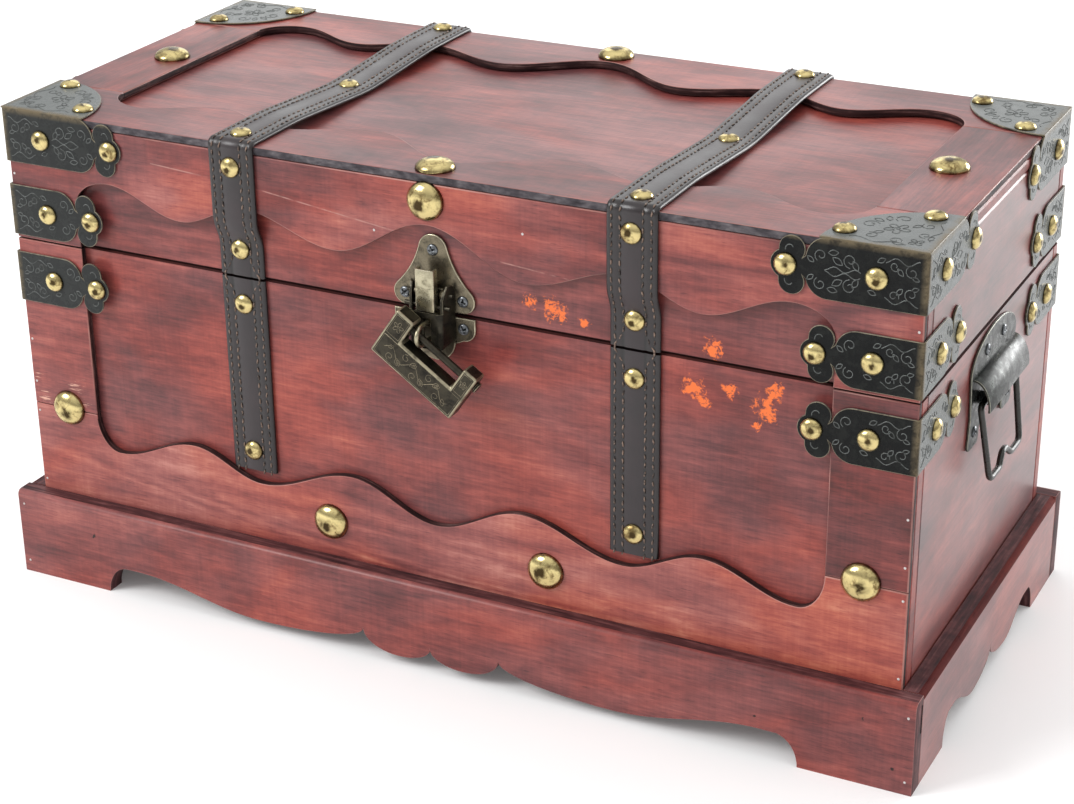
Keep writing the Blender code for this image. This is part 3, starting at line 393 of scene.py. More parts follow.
# %% Shader groups
def add_socket(tree, label, value, way="INPUT"):
    """A socket of a tree's own. Its kind is named, or follows from its first value."""
    kind = {str: value, bool: "Bool", int: "Int", float: "Float", tuple: "Vector"}[type(value)]
    if kind == "Vector" and len(value) == 4:
        kind = "Color"
    socket = tree.interface.new_socket(label, in_out=way, socket_type="NodeSocket" + kind)
    if not isinstance(value, str):
        socket.default_value = value


def new_tree(name, kind, inputs, outputs):
    """An empty tree with its own sockets, and the two nodes that stand for them inside it."""
    tree = bpy.data.node_groups.new(name, kind)
    for label, value in inputs.items():
        add_socket(tree, label, value)
    for label, value in outputs.items():
        add_socket(tree, label, value, "OUTPUT")
    return tree, add(tree, "NodeGroupInput", (-900, 0)), add(tree, "NodeGroupOutput", (900, 0))


def stretched(vector, scale, shift=(0, 0, 0)):
    """A vector scaled by axis, so that what reads it is stretched along the small ones."""
    made = add(tree_of(vector), "ShaderNodeMapping", Scale=scale, Location=shift)
    join(vector, (made, "Vector"))
    return made, "Vector"


def noise(vector, scale, detail=2.0, rough=0.5, twist=0.0, shift=(0, 0, 0)):
    """Cloudy noise round 0.5; scale is how fine it is along each axis."""
    made = add(tree_of(vector), "ShaderNodeTexNoise", Scale=1.0, Detail=detail, Roughness=rough,
               Distortion=twist)
    join(stretched(vector, scale, shift), (made, "Vector"))
    return made, "Fac"


def ramped(value, *stops):
    """A colour ramp through (position, colour) stops."""
    made = add(tree_of(value), "ShaderNodeValToRGB")
    band = made.color_ramp
    while len(band.elements) < len(stops):
        band.elements.new(0.5)
    for element, (place, colour) in zip(band.elements, stops):
        element.position = place
        element.color = (*colour, 1) if len(colour) == 3 else colour
    join(value, (made, "Fac"))
    return made, "Color"


def mixed(factor, first, second, blend="MIX"):
    """A colour mix; each colour is a tuple or a pair."""
    made = add(tree_of(factor, first, second), "ShaderNodeMix", data_type="RGBA", blend_type=blend)
    feed(made, 0, factor)
    for socket, colour in ((6, first), (7, second)):
        feed(made, socket, colour if is_pair(colour) else (*colour, 1))
    return made, 2


# %% Grain group
def make_grain_group():
    """The grain's shade, its warm and cool regions, its relief and its large clouds."""
    tree, start, end = new_tree(
        "stained_grain", "ShaderNodeTree", {"Vector": "Vector", "Tone": 0.0, "Figure": 0.3},
        {"Shade": "Float", "Warm": "Float", "Height": "Float", "Cloud": "Float"})
    vector = (start, "Vector")
    cloud = noise(vector, (9, 17, 17), 3, 0.55, 0.4)
    blotch = noise(vector, (34, 62, 62), 4, 0.62, 0.6, (5, 2, 8))
    streak = noise(vector, (7, 95, 95), 4, 0.58, 0.5, (3, 1, 2))
    fibre = noise(vector, (45, 640, 640), 4, 0.62)
    pore = noise(vector, (150, 2300, 2300), 1, 0.5, 0.0, (4, 4, 1))
    mottle = noise(vector, (130, 230, 230), 3, 0.6, 0.3, (6, 6, 3))
    knife = noise(vector, (620, 14, 14), 3, 0.6, 0.0, (7, 0, 4))
    warmth = noise(vector, (8, 15, 15), 3, 0.6, 0.5, (2, 9, 6))
    warp = noise(vector, (2.6, 17, 17), 1.5, 0.4, 0.6, (1, 5, 2))
    bands = calc("PINGPONG", calc("MULTIPLY", warp, 11.0), 0.5)
    figure = calc("MULTIPLY", calc("SUBTRACT", bands, 0.25), (start, "Figure"))
    shade = calc("MULTIPLY_ADD", calc("SUBTRACT", cloud, 0.5), 0.85, 0.5)
    for part, weight in ((blotch, 0.55), (streak, 0.3), (fibre, 0.66), (mottle, 0.3), (knife, 0.2)):
        shade = calc("MULTIPLY_ADD", calc("SUBTRACT", part, 0.5), weight, shade)
    shade = calc("SUBTRACT", shade, level_range(pore, 0.64, 0.74, 0.0, 0.22))
    shade = calc("ADD", calc("ADD", shade, figure), (start, "Tone"), clamp=True)
    height = calc("MULTIPLY_ADD", fibre, 0.6, calc("MULTIPLY", streak, 0.8))
    join(shade, (end, "Shade"))
    join(level_range(warmth, 0.36, 0.64, smooth=True), (end, "Warm"))
    join(height, (end, "Height"))
    join(cloud, (end, "Cloud"))
    return tree


def make_patch_group():
    """Where the stain is rubbed away round a point: 1 in ragged flecks, 0 elsewhere."""
    tree, start, end = new_tree(
        "rubbed_patch", "ShaderNodeTree", {"Vector": "Vector", "Centre": (0, 0, 0), "Reach": 0.01,
                                           "Flecks": (340, 340, 340), "Fill": 0.36}, {"Mask": "Float"})
    gap = add(tree, "ShaderNodeVectorMath", operation="DISTANCE")
    join((start, "Vector"), (gap, 0))
    join((start, "Centre"), (gap, 1))
    near = calc("SUBTRACT", 1.0, calc("DIVIDE", (gap, "Value"), (start, "Reach")), clamp=True)
    drawn = add(tree, "ShaderNodeVectorMath", operation="MULTIPLY")
    join((start, "Vector"), (drawn, 0))
    join((start, "Flecks"), (drawn, 1))
    flecks = noise((drawn, 0), (1, 1, 1), 4, 0.7, 0.4)
    rough = calc("MULTIPLY_ADD", near, (start, "Fill"), flecks)
    mask = calc("MULTIPLY", level_range(rough, 0.66, 0.76), level_range(near, 0.0, 0.15))
    join(mask, (end, "Mask"))
    return tree


grain_group = make_grain_group()
patch_group = make_patch_group()
print("groups:", grain_group.name, patch_group.name)

# %% [markdown]
# ### The wood's finish
#
# The stain's shade runs through two sets of tones, a cool and a warm one, mixed by broad regions.
# Over it lie what wear has done: orange flecks where the stain came off, pale scratches and dark nicks.
# The arrises get a painted highlight, broken up unevenly. A coat of thin varnish gives the gloss. The
# cut edges drank more stain, so they get a finish of their own, dark, with the plies showing as thin
# lines. Along the seam and under the lid's frame boards, the panels carry a band of painted shade.


# %% Stained wood
cool_stain = ((0.0, (0.05, 0.022, 0.025)), (0.35, (0.136, 0.043, 0.045)), (0.6, (0.24, 0.071, 0.067)),
              (0.8, (0.335, 0.108, 0.095)), (1.0, (0.45, 0.18, 0.15)))
warm_stain = ((0.0, (0.07, 0.018, 0.017)), (0.35, (0.19, 0.035, 0.031)), (0.6, (0.315, 0.064, 0.049)),
              (0.8, (0.425, 0.105, 0.07)), (1.0, (0.54, 0.185, 0.115)))
# Pale wood: a painted highlight on the arrises, and the colour of the pale creases.
highlight_and_crease_colour = (0.42, 0.21, 0.18)
orange = (0.8, 0.16, 0.035)
pale = (0.62, 0.34, 0.26)
nick = (0.012, 0.007, 0.007)
scratch_flecks = (70, 300, 1000)


def crease_mask(spot, start, end):
    """1 along a thin straight line on the front, broken up, between two (x, z) points."""
    split = parts(spot)
    slope = (end[1] - start[1]) / (end[0] - start[0])
    line = calc("MULTIPLY_ADD", (split, "X"), slope, start[1] - slope * start[0])
    off = calc("ABSOLUTE", calc("SUBTRACT", (split, "Z"), line))
    within = calc("COMPARE", (split, "X"), (start[0] + end[0]) / 2, abs(end[0] - start[0]) / 2)
    broken = level_range(noise(spot, (90, 90, 90), 3, 0.6), 0.38, 0.56, 0.0, 0.75)
    thin = level_range(off, 0.00045, 0.00018)
    return calc("MULTIPLY", calc("MULTIPLY", thin, within), broken)


def wood_colour(tree, spot, grain, patches, creases):
    """The stain's colour, with its rubbed patches, a painted highlight on its arrises, and its creases."""
    shade = (grain, "Shade")
    colour = mixed((grain, "Warm"), ramped(shade, *cool_stain), ramped(shade, *warm_stain))
    for centre, reach, tint in patches:
        patch = add(tree, "ShaderNodeGroup", node_tree=patch_group, Centre=centre, Reach=reach)
        if tint is pale:
            fill(patch, Flecks=scratch_flecks, Fill=0.2)
        join((spot, "Object"), (patch, "Vector"))
        colour = mixed((patch, "Mask"), colour, tint)
    # A painted highlight along the rounded arris, stronger in the warm regions.
    arris = add(tree, "ShaderNodeAttribute", attribute_name="rim")
    uneven = level_range((grain, "Warm"), 0.1, 0.9, 0.15, 0.75)
    colour = mixed(calc("MULTIPLY", (arris, "Fac"), uneven), colour, highlight_and_crease_colour)
    for start, end in creases:
        colour = mixed(crease_mask((spot, "Object"), start, end), colour, highlight_and_crease_colour)
    return colour


def dark_band_mask(spot, dark_bands):
    """1 in the darkened bands, each a (height, reach), and 0 elsewhere."""
    height, mask = parts(spot), 0.0
    for level_z, reach in dark_bands:
        mask = calc("MAXIMUM", mask, calc("COMPARE", (height, "Z"), level_z, reach))
    return mask


def wood(name, shift=(0, 0, 0), turn=(0, 0, 0), tone=0.0, figure=0.3, patches=(), shine=0.36,
         glaze=0.26, dark_bands=(), band_darkening=(0.17, 0.15, 0.15), creases=()):
    """Red-stained plywood. The grain runs along X before the turn. dark_bands are the (height, reach) of
    bands that are darker and have no glaze; at the seam and at the lid's roof they are a painted shade in
    the joints. band_darkening is what is left of their colour. creases are faint pale lines across the
    board's front, each from one (x, z) to another."""
    material, tree, shader = plain_material(name)
    spot = add(tree, "ShaderNodeTexCoord")
    turned = add(tree, "ShaderNodeMapping", Rotation=[radians(a) for a in turn], Location=shift)
    join((spot, "Object"), (turned, "Vector"))
    grain = add(tree, "ShaderNodeGroup", node_tree=grain_group, Tone=tone, Figure=figure)
    join((turned, "Vector"), (grain, "Vector"))
    colour = wood_colour(tree, spot, grain, patches, creases)
    rough = level_range((grain, "Cloud"), 0.3, 0.7, shine + 0.08, shine - 0.04)
    # Darker colour, full roughness and no coat in the bands: a painted shade in the joints at the seam and
    # the roof.
    if dark_bands:
        edges = dark_band_mask((spot, "Object"), dark_bands)
        colour = mixed(edges, colour, mixed(1.0, colour, band_darkening, "MULTIPLY"))
        rough = calc("MAXIMUM", rough, edges)
        join(calc("MULTIPLY_ADD", edges, -glaze, glaze), (shader, "Coat Weight"))
    join(colour, (shader, "Base Color"))
    join(rough, (shader, "Roughness"))
    fill(shader, Specular_IOR_Level=0.28, Specular_Tint=(1.0, 0.86, 0.8, 1), Coat_Weight=glaze,
         Coat_Roughness=0.34)
    add_relief(shader, (grain, "Height"), 0.22, 0.0005)
    return material


# %% Cut edges
sawn = ((0.34, (0.008, 0.005, 0.006)), (0.5, (0.034, 0.015, 0.015)), (0.6, (0.095, 0.048, 0.045)),
        (0.74, (0.23, 0.165, 0.155)))
dusty = ((0.32, (0.02, 0.017, 0.02)), (0.46, (0.052, 0.046, 0.052)), (0.58, (0.11, 0.098, 0.105)),
         (0.72, (0.23, 0.205, 0.21)))
ledge = ((0.34, (0.022, 0.01, 0.012)), (0.5, (0.075, 0.026, 0.028)), (0.6, (0.14, 0.055, 0.055)),
         (0.74, (0.26, 0.15, 0.145)))


def cut_edge(name, layers, tones=sawn, rough=0.5):
    """The edge of a plywood board: dark, with thin plies along it. layers is the scale by axis."""
    material, tree, shader = plain_material(name)
    spot = add(tree, "ShaderNodeTexCoord")
    ply = noise((spot, "Object"), layers, 3, 0.6, 0.2)
    wear = noise((spot, "Object"), (70, 110, 110), 4, 0.65)
    ply = calc("ADD", calc("MULTIPLY", ply, 0.65), calc("MULTIPLY", wear, 0.35))
    join(ramped(ply, *tones), (shader, "Base Color"))
    fill(shader, Roughness=rough, Specular_IOR_Level=0.15)
    add_relief(shader, ply, 0.5, 0.0006)
    return material


edge_front = cut_edge("cut_edge_front", (30, 900, 60))
edge_level = cut_edge("cut_edge_level", (30, 60, 900))
edge_dusty = cut_edge("cut_edge_dusty", (120, 200, 260), dusty, 0.6)
ledge_front = cut_edge("ledge_front", (30, 500, 60), ledge)
ledge_side = cut_edge("ledge_side", (500, 30, 60), ledge)
print("cut edges:", [edge.name for edge in (edge_front, edge_level, edge_dusty, ledge_front, ledge_side)])

# %% [markdown]
# ## Panels
#
# The plain panels of the box and lid keep their solids, which are right as they stand, and only get
# a finish. Each has its grain along its length, and its own shift, so that no two boards match.

# %% Panel finishes
quarter = (0, 0, 90)
# Bands of painted shade along the panel edges in the seam between lid and box, and under the lid's frame
# boards.
band_reach = 0.0008
seam_shade_band = ((seam + lid_low) / 2, (lid_low - seam) / 2 + band_reach)
roof_shade_band = (lid_roof, band_reach)
side_shade_bands = [seam_shade_band, roof_shade_band]


def worn_spots(y, tint, *spots):
    """Patches of one tint on an upright plane, from (x, z, reach)."""
    return [((x, y, z), reach, tint) for x, z, reach in spots]


body_flecks = worn_spots(panel_y, orange, (0.1385, 0.1833, 0.009), (0.1442, 0.1777, 0.006),
                         (0.1572, 0.1859, 0.006), (0.179, 0.1891, 0.008), (0.1752, 0.1793, 0.01),
                         (0.1707, 0.1701, 0.004))
lid_flecks = worn_spots(panel_y, orange, (0.0535, 0.2125, 0.006), (0.0655, 0.2105, 0.009),
                        (0.069, 0.2086, 0.007), (0.0822, 0.2063, 0.005), (0.148, 0.205, 0.008))
panel_finishes = {
    "body_front_panel": wood("wood_body_front", (0.55, 0.1, 0.2), tone=-0.05, figure=0.25,
                             patches=body_flecks, dark_bands=[seam_shade_band]),
    "body_back_panel": wood("wood_body_back", (1.7, 0.4, 0.9), tone=-0.03, dark_bands=[seam_shade_band]),
    "body_left_panel": wood("wood_body_left", (0.2, 2.1, 0.4), quarter, -0.14, glaze=0.8, dark_bands=[seam_shade_band]),
    "body_right_panel": wood("wood_body_right", (0.9, 1.3, 2.2), quarter, -0.16, 0.35, glaze=0.8,
                             dark_bands=[seam_shade_band]),
    "body_base_board": wood("wood_base", (2.2, 0.3, 0.1), tone=-0.1, shine=0.6),
    "lid_front_panel": wood("wood_lid_front", (2.9, 0.1, 1.4), tone=-0.1, figure=0.45,
                            patches=lid_flecks, dark_bands=[seam_shade_band]),
    "lid_back_panel": wood("wood_lid_back", (0.7, 0.9, 3.1), tone=-0.05, dark_bands=[seam_shade_band]),
    "lid_left_panel": wood("wood_lid_left", (1.1, 0.6, 1.9), quarter, -0.14, glaze=0.8, dark_bands=side_shade_bands),
    "lid_right_panel": wood("wood_lid_right", (2.4, 0.8, 0.6), quarter, -0.29, 0.3, glaze=0.72,
                            dark_bands=side_shade_bands),
    "lid_top_panel": wood("wood_lid_top", (1.5, 2.6, 0.3), tone=-0.1, figure=0.2),
}


def refinish(node, material):
    """Gives a solid of the frame a new finish."""
    node.data.materials.clear()
    node.data.materials.append(material)


for name, material in panel_finishes.items():
    refinish(nodes[name], material)
print("panels:", len(panel_finishes))

# %% [markdown]
# ## Wavy boards
#
# The overlay boards were sawn to a wave drawn by hand: a few crests and troughs, eased into each
# other. A traced curve object could give that line. Half a wave as a short list of crests is easier
# to change, and the other half mirrors it. Each crest is a share of the way out and of the wave's
# height. The boards replace the coarse solids, with many more points along the curve.

# %% Rail and stiles on the body
rail_shares = ((0.0, 0.0), (0.235, 1.0), (0.5, 0.08), (0.7, 0.88), (0.935, 0.03))
rail_trough, rail_height, stile_foot = 0.0815, 0.017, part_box("front_rail")[1].z


def make_rail():
    """The wavy board along the foot of the body's front."""
    wave = wave_half(rail_shares, opening, rail_height, (stile_foot - rail_trough) / rail_height)
    edge = [(x, rail_trough + z) for x, z in mirrored(wave)]
    outline = [(-half_width, stile_foot), (-half_width, body_bottom), (half_width, body_bottom),
               (half_width, stile_foot)] + edge[::-1]
    mesh = slab_mesh(outline, board, face_frame("front", -board))
    finish = wood("wood_rail", (0.1, 0.7, 1.2), tone=0.19, figure=0.5)
    rail = new_piece("rail_board", mesh, "box", "stained_wood", finish, edge_front)
    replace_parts(rail, "front_rail")


def make_stile(name, side, shift, patches=(), tone=0.06):
    """An upright corner board on the front. side is -1 on the left and 1 on the right."""
    near, far = sorted((side * opening, side * half_width))
    outline = [(near, stile_foot + fit), (far, stile_foot + fit), (far, seam), (near, seam)]
    mesh = slab_mesh(outline, board, face_frame("front", -board))
    finish = wood("wood_" + name, shift, tone=tone, patches=patches)
    stile = new_piece(name + "_board", mesh, "box", "stained_wood", finish, edge_front)
    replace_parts(stile, name)


scratches = worn_spots(front_y, pale, (-0.2465, 0.1198, 0.006), (-0.2428, 0.1061, 0.007),
                       (-0.2196, 0.1148, 0.009), (-0.2166, 0.1065, 0.007))
make_rail()
make_stile("front_left_stile", -1, (4.1, 0.2, 0.5), scratches)
make_stile("front_right_stile", 1, (3.3, 1.2, 2.5), tone=-0.14)
print("rail from", round(rail_trough, 4), "to", round(rail_trough + rail_height, 4), "and two stiles")

# %% Valance and frame boards on the lid
lid_shares = ((0.0, 1.0), (0.255, 0.0), (0.5, 0.62), (0.69, 0.03), (0.9, 0.66))
valance_low_share, valance_wave_share = 0.667, 0.302
frame_width, frame_wave = 0.0485, 0.027
frame_joint = half_depth - frame_width
valance_creases = [((-0.16, 0.2525), (-0.1, 0.2487)), ((-0.1, 0.2487), (-0.012, 0.2378)),
                   ((0.036, 0.2323), (0.088, 0.228))]


def make_valance():
    """The wavy board on the lid's front, with its two feet down to the seam."""
    low = top_z - valance_low_share * lid_height
    wave = wave_half(lid_shares, opening, valance_wave_share * lid_height, 0.0)
    edge = [(x, low + z) for x, z in mirrored(wave)]
    outline = [(-half_width, lid_low), (-opening, lid_low)] + edge
    outline += [(opening, lid_low), (half_width, lid_low), (half_width, lid_roof), (-half_width, lid_roof)]
    mesh = slab_mesh(outline, board, face_frame("front", -board))
    finish = wood("wood_valance", (0.6, 3.1, 0.8), tone=0.02, figure=0.7, creases=valance_creases)
    valance = new_piece("valance_board", mesh, "lid", "stained_wood", finish, edge_front)
    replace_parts(valance, "lid_valance")


def make_long_frame_boards():
    """The wavy boards along the front and back of the lid's top. Their outer edges are dusty."""
    wave = wave_half(lid_shares, opening, frame_wave, 0.0)
    edge = [(x, frame_joint + d) for x, d in mirrored(wave)]
    outline = [(-half_width, frame_joint), (-half_width, half_depth), (half_width, half_depth),
               (half_width, frame_joint)] + edge[::-1]
    for name, side, shift in (("lid_frame_front", -1, (5, 0, 1)), ("lid_frame_back", 1, (6, 2, 0))):
        placed = [(x, side * y) for x, y in outline]
        mesh = slab_mesh(placed, board, face_frame("top", -board))
        for face in mesh.polygons:
            if abs(face.center.y - middle_y) > half_depth - fit:
                face.material_index = 2
        finish = wood("wood_" + name, shift, tone=-0.14, figure=0.35)
        piece = new_piece(name + "_board", mesh, "lid", "stained_wood", finish, edge_level, edge_dusty)
        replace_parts(piece, name)


def make_short_frame_boards():
    """The straight boards at the ends of the lid's top, between the long ones."""
    for name, side, shift in (("lid_frame_left", -1, (7, 1, 2)), ("lid_frame_right", 1, (8, 3, 1))):
        near, far = sorted((side * opening, side * half_width))
        reach = frame_joint - fit
        placed = [(near, -reach), (far, -reach), (far, reach), (near, reach)]
        mesh = slab_mesh(placed, board, face_frame("top", -board))
        finish = wood("wood_" + name, shift, quarter, -0.12, 0.35)
        piece = new_piece(name + "_board", mesh, "lid", "stained_wood", finish, edge_level)
        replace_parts(piece, name)


make_valance()
make_long_frame_boards()
make_short_frame_boards()
print("valance and frame boards on a lid", round(lid_height, 4), "high")

# %% [markdown]
# ## Plinth
#
# Four boards stand round the foot of the box. Their lower edges are scalloped: two hanging lobes on
# the long boards and one on the short ones, then a swell up to an arch beside each foot. Lobes and
# arches are quarter ellipses, which a formula gives more evenly than a drawn curve. The top arris is
# rounded over, as with a moulding cutter, so only that edge gets a wide bevel.

# %% Plinth boards
plinth_low, plinth_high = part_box("plinth_front")
plinth_height, plinth_thick = plinth_high.z, plinth_high.y - plinth_low.y
arch_height, lobe_low, cusp_height = 0.0165, 0.0055, 0.017
moulding, arris = 0.003, 0.0006


def lobe(start, low, end, steps=12):
    """A hanging lobe between two cusps, as two quarter ellipses through its low point."""
    left = [(low[0] + (start[0] - low[0]) * c, start[1] + (low[1] - start[1]) * s)
            for c, s in arc((0, 0), 1, 1, 0, 90, steps)]
    right_side = [(low[0] + (end[0] - low[0]) * c, end[1] + (low[1] - end[1]) * s)
                  for c, s in arc((0, 0), 1, 1, 90, 0, steps)]
    return left + right_side[1:]


def swell(start, end, steps=16):
    """A smooth climb between two levels, without its first point."""
    return [(start[0] + (end[0] - start[0]) * i / steps,
             start[1] + (end[1] - start[1]) * (1 - cos(pi * i / steps)) / 2)
            for i in range(1, steps + 1)]


def foot_curve(inner, slope):
    """The rounded end of an arch, down to the floor."""
    return [(inner - slope + slope * s, arch_height * c) for c, s in arc((0, 0), 1, 1, 8, 90, 9)]


def front_scallop(half):
    """Half the lower edge of a long board, from its middle to the arch."""
    low1, cusp, low2, rise = (half * share for share in (0.1, 0.21, 0.55, 0.96))
    points = lobe((0.0, 0.014), (low1, lobe_low), (cusp, cusp_height))
    points += lobe((cusp, cusp_height), (low2, lobe_low), (rise, lobe_low))[1:12]
    return points + swell((low2, lobe_low), (rise, arch_height))


def side_scallop(half):
    """Half the lower edge of a short board."""
    low, rise = half * 0.42, half * 0.9
    points = lobe((0.0, 0.0165), (low, lobe_low), (rise, lobe_low))[:12]
    return points + swell((low, lobe_low), (rise, arch_height))


def plinth_mesh(face, half, foot, slope, scallop):
    """A scalloped board, with its top arris rounded over by a profile."""
    inner = half - foot
    edge = scallop(inner - slope) + foot_curve(inner, slope)
    outline = [(-half, 0.0)] + mirrored(edge) + [(half, 0.0), (half, plinth_height),
                                                 (-half, plinth_height)]
    mesh = slab_mesh(outline, plinth_thick, face_frame(face, fit), 0.0)
    work = bmesh.new()
    work.from_mesh(mesh)
    outer = face_frame(face, fit + plinth_thick).inverted()
    rim = work.faces.layers.float["rim"]
    over = [e for e in work.edges if all(
        v.co.z > plinth_height - fit and abs((outer @ v.co).z) < fit for v in e.verts)]
    bmesh.ops.bevel(work, geom=over, offset=moulding, segments=5, affect="EDGES", profile=0.5)
    rest = [e for e in work.edges if e.calc_face_angle(0.0) > radians(50)]
    ends = bmesh.ops.bevel(work, geom=rest, offset=arris, segments=2, affect="EDGES", profile=0.5,
                           clamp_overlap=True)
    for face_made in ends["faces"]:
        face_made[rim] = 1.0
    for face_made in work.faces:
        face_made.smooth = True
    for line in work.edges:
        areas = sorted(f.calc_area() for f in line.link_faces)
        line.smooth = line.calc_face_angle(0.0) < radians(30) and areas[-1] < 0.001
    return kept_mesh(work, "plinth", mesh)


# %% Make the plinth
nicks = worn_spots(plinth_low.y, nick, (-0.2107, 0.0327, 0.0022), (0.2348, 0.0363, 0.0015),
                   (0.1803, 0.0231, 0.0014), (0.2507, 0.0125, 0.0015))
long_foot, long_slope, short_foot, short_slope = 0.058, 0.013, 0.0475, 0.009


def make_plinth():
    """The four boards. The rounded arris of the short ones is darker and has no glaze."""
    overhang = fit + plinth_thick
    band_darkening = (0.42, 0.3, 0.3)
    for face, shift in (("front", (9, 1, 4)), ("back", (2, 7, 1)), ("left", (3, 5, 2)), ("right", (6, 4, 7))):
        if face in ("front", "back"):
            mesh = plinth_mesh(face, half_width + overhang, long_foot, long_slope, front_scallop)
            finish = wood("wood_plinth_" + face, shift, (0, 0, 0), -0.03, 0.2, nicks, band_darkening=band_darkening)
            edge = ledge_front
        else:
            mesh = plinth_mesh(face, half_depth, short_foot - overhang, short_slope, side_scallop)
            finish = wood("wood_plinth_" + face, shift, quarter, -0.03, 0.2, nicks, glaze=0.7,
                          dark_bands=[(plinth_height, 0.0028)], band_darkening=band_darkening)
            edge = ledge_side
        piece = new_piece("plinth_board_" + face, mesh, "box", "stained_wood", finish, edge)
        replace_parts(piece, "plinth_" + face)


make_plinth()
print("plinth", round(plinth_height, 4), "high and", round(plinth_thick, 4), "thick")

# %% [markdown]
# ## Metal and leather finishes
#
# The stamped sheet is blackened steel: dark on its faces, rubbed pale along its rim and on the raised
# lines of its ornament. Where it is seen at a low angle it carries a painted pale sheen, and its raised
# lines a painted shade. The dome nails are yellow brass with brown spots, and the latch is cast and
# pressed in a darker, antiqued bronze. One group gives all of them their clouds of tarnish and the
# worn rim, which is a painted dark reflection low on the nails and a painted shade on the screws;
# each metal sets its own two colours and its own gloss.


# %% Tarnish group
def make_tarnish_group():
    """Clean metal with dull spots, and its worn colour along its rim: wear on most metals, a painted dark
    reflection low on the nails, and a painted shade on the screws.
    """
    tree, start, end = new_tree(
        "tarnish", "ShaderNodeTree",
        {"Vector": "Vector", "Clean": (0.5, 0.4, 0.2, 1), "Dull": (0.1, 0.08, 0.05, 1),
         "Worn": (0.6, 0.55, 0.4, 1), "Rim": 0.0, "Spots": 0.5},
        {"Color": "Color", "Rough": "Float", "Height": "Float"})
    vector = (start, "Vector")
    cloud = noise(vector, (170, 170, 170), 3, 0.6, 0.6)
    speck = noise(vector, (900, 900, 900), 2, 0.6)
    dirt = calc("ADD", calc("MULTIPLY", cloud, 0.75), calc("MULTIPLY", speck, 0.25))
    edge = calc("SUBTRACT", 0.72, calc("MULTIPLY", (start, "Spots"), 0.3))
    bare = add(tree, "ShaderNodeMapRange", interpolation_type="SMOOTHSTEP")
    join(dirt, (bare, "Value"))
    join(calc("SUBTRACT", edge, 0.14), (bare, "From Min"))
    join(calc("ADD", edge, 0.1), (bare, "From Max"))
    colour = mixed((bare, "Result"), (start, "Clean"), (start, "Dull"))
    worn = calc("MULTIPLY", (start, "Rim"), level_range(cloud, 0.3, 0.55, 0.25, 1.0), clamp=True)
    colour = mixed(worn, colour, (start, "Worn"))
    join(colour, (end, "Color"))
    join(dirt, (end, "Rough"))
    join(dirt, (end, "Height"))
    return tree


tarnish_group = make_tarnish_group()
print("group:", tarnish_group.name)


# %% Metal
def near_corner(spot):
    """1 along the edges where two sides of the chest meet, 0 further than 3 mm from them."""
    split = parts(spot)
    past_x = calc("SUBTRACT", calc("ABSOLUTE", (split, "X")), half_width)
    past_y = calc("SUBTRACT", calc("ABSOLUTE", calc("SUBTRACT", (split, "Y"), middle_y)),
                  half_depth)
    past_z = calc("SUBTRACT", (split, "Z"), top_z)
    upright_edge = calc("MINIMUM", past_x, past_y)
    level_edge = calc("MINIMUM", past_z, calc("MAXIMUM", past_x, past_y))
    return level_range(calc("MAXIMUM", upright_edge, level_edge), -0.0026, 0.0006)


def metal(name, clean, dull, worn, spots=0.5, metallic=1.0, rough=(0.25, 0.5), bump=0.1, gleam=0.5,
          grazing_light=None, rubbed=None):
    """A tarnished metal, which takes its worn colour where the attribute rim says so. grazing_light is a
    painted sheen, a colour mixed in where the metal is seen at a low angle: pale on the stamped sheet,
    and dark on its raised lines, a painted shade. rubbed is the colour of the bare metal along the chest's
    own corners."""
    material, tree, shader = plain_material(name)
    spot = add(tree, "ShaderNodeTexCoord")
    rim = add(tree, "ShaderNodeAttribute", attribute_name="rim")
    tarnish = add(tree, "ShaderNodeGroup", node_tree=tarnish_group, Clean=(*clean, 1), Dull=(*dull, 1),
                  Worn=(*worn, 1), Spots=spots)
    join((spot, "Object"), (tarnish, "Vector"))
    join((rim, "Fac"), (tarnish, "Rim"))
    colour = (tarnish, "Color")
    # A painted sheen: the colour turns to grazing_light where the surface is seen at a low angle, less on the
    # rim.
    if grazing_light:
        slant = add(tree, "ShaderNodeLayerWeight", Blend=0.5)
        painted_sheen = level_range((slant, "Facing"), 0.2, 0.7)
        clear = calc("SUBTRACT", 1.0, calc("MULTIPLY", (rim, "Fac"), 0.8), clamp=True)
        colour = mixed(calc("MULTIPLY", painted_sheen, clear), colour, grazing_light)
    if rubbed:
        corner = near_corner((spot, "Object"))
        broken = level_range((tarnish, "Rough"), 0.36, 0.56, 0.25, 1.0)
        colour = mixed(calc("MULTIPLY", corner, broken), colour, rubbed)
    join(colour, (shader, "Base Color"))
    join(level_range((tarnish, "Rough"), 0.35, 0.65, *rough), (shader, "Roughness"))
    fill(shader, Metallic=metallic, Specular_IOR_Level=gleam)
    add_relief(shader, (tarnish, "Height"), bump, 0.0004)
    return material


# %% The metals of the chest
# Blackened steel, with a painted pale sheen where it is seen at a low angle.
black_steel = metal("blackened_steel", (0.003, 0.0035, 0.0035), (0.01, 0.011, 0.01), (0.24, 0.21, 0.15),
                    0.5, 0.0, (0.2, 0.34), gleam=0.16, grazing_light=(0.14, 0.15, 0.147),
                    rubbed=(0.135, 0.105, 0.062))
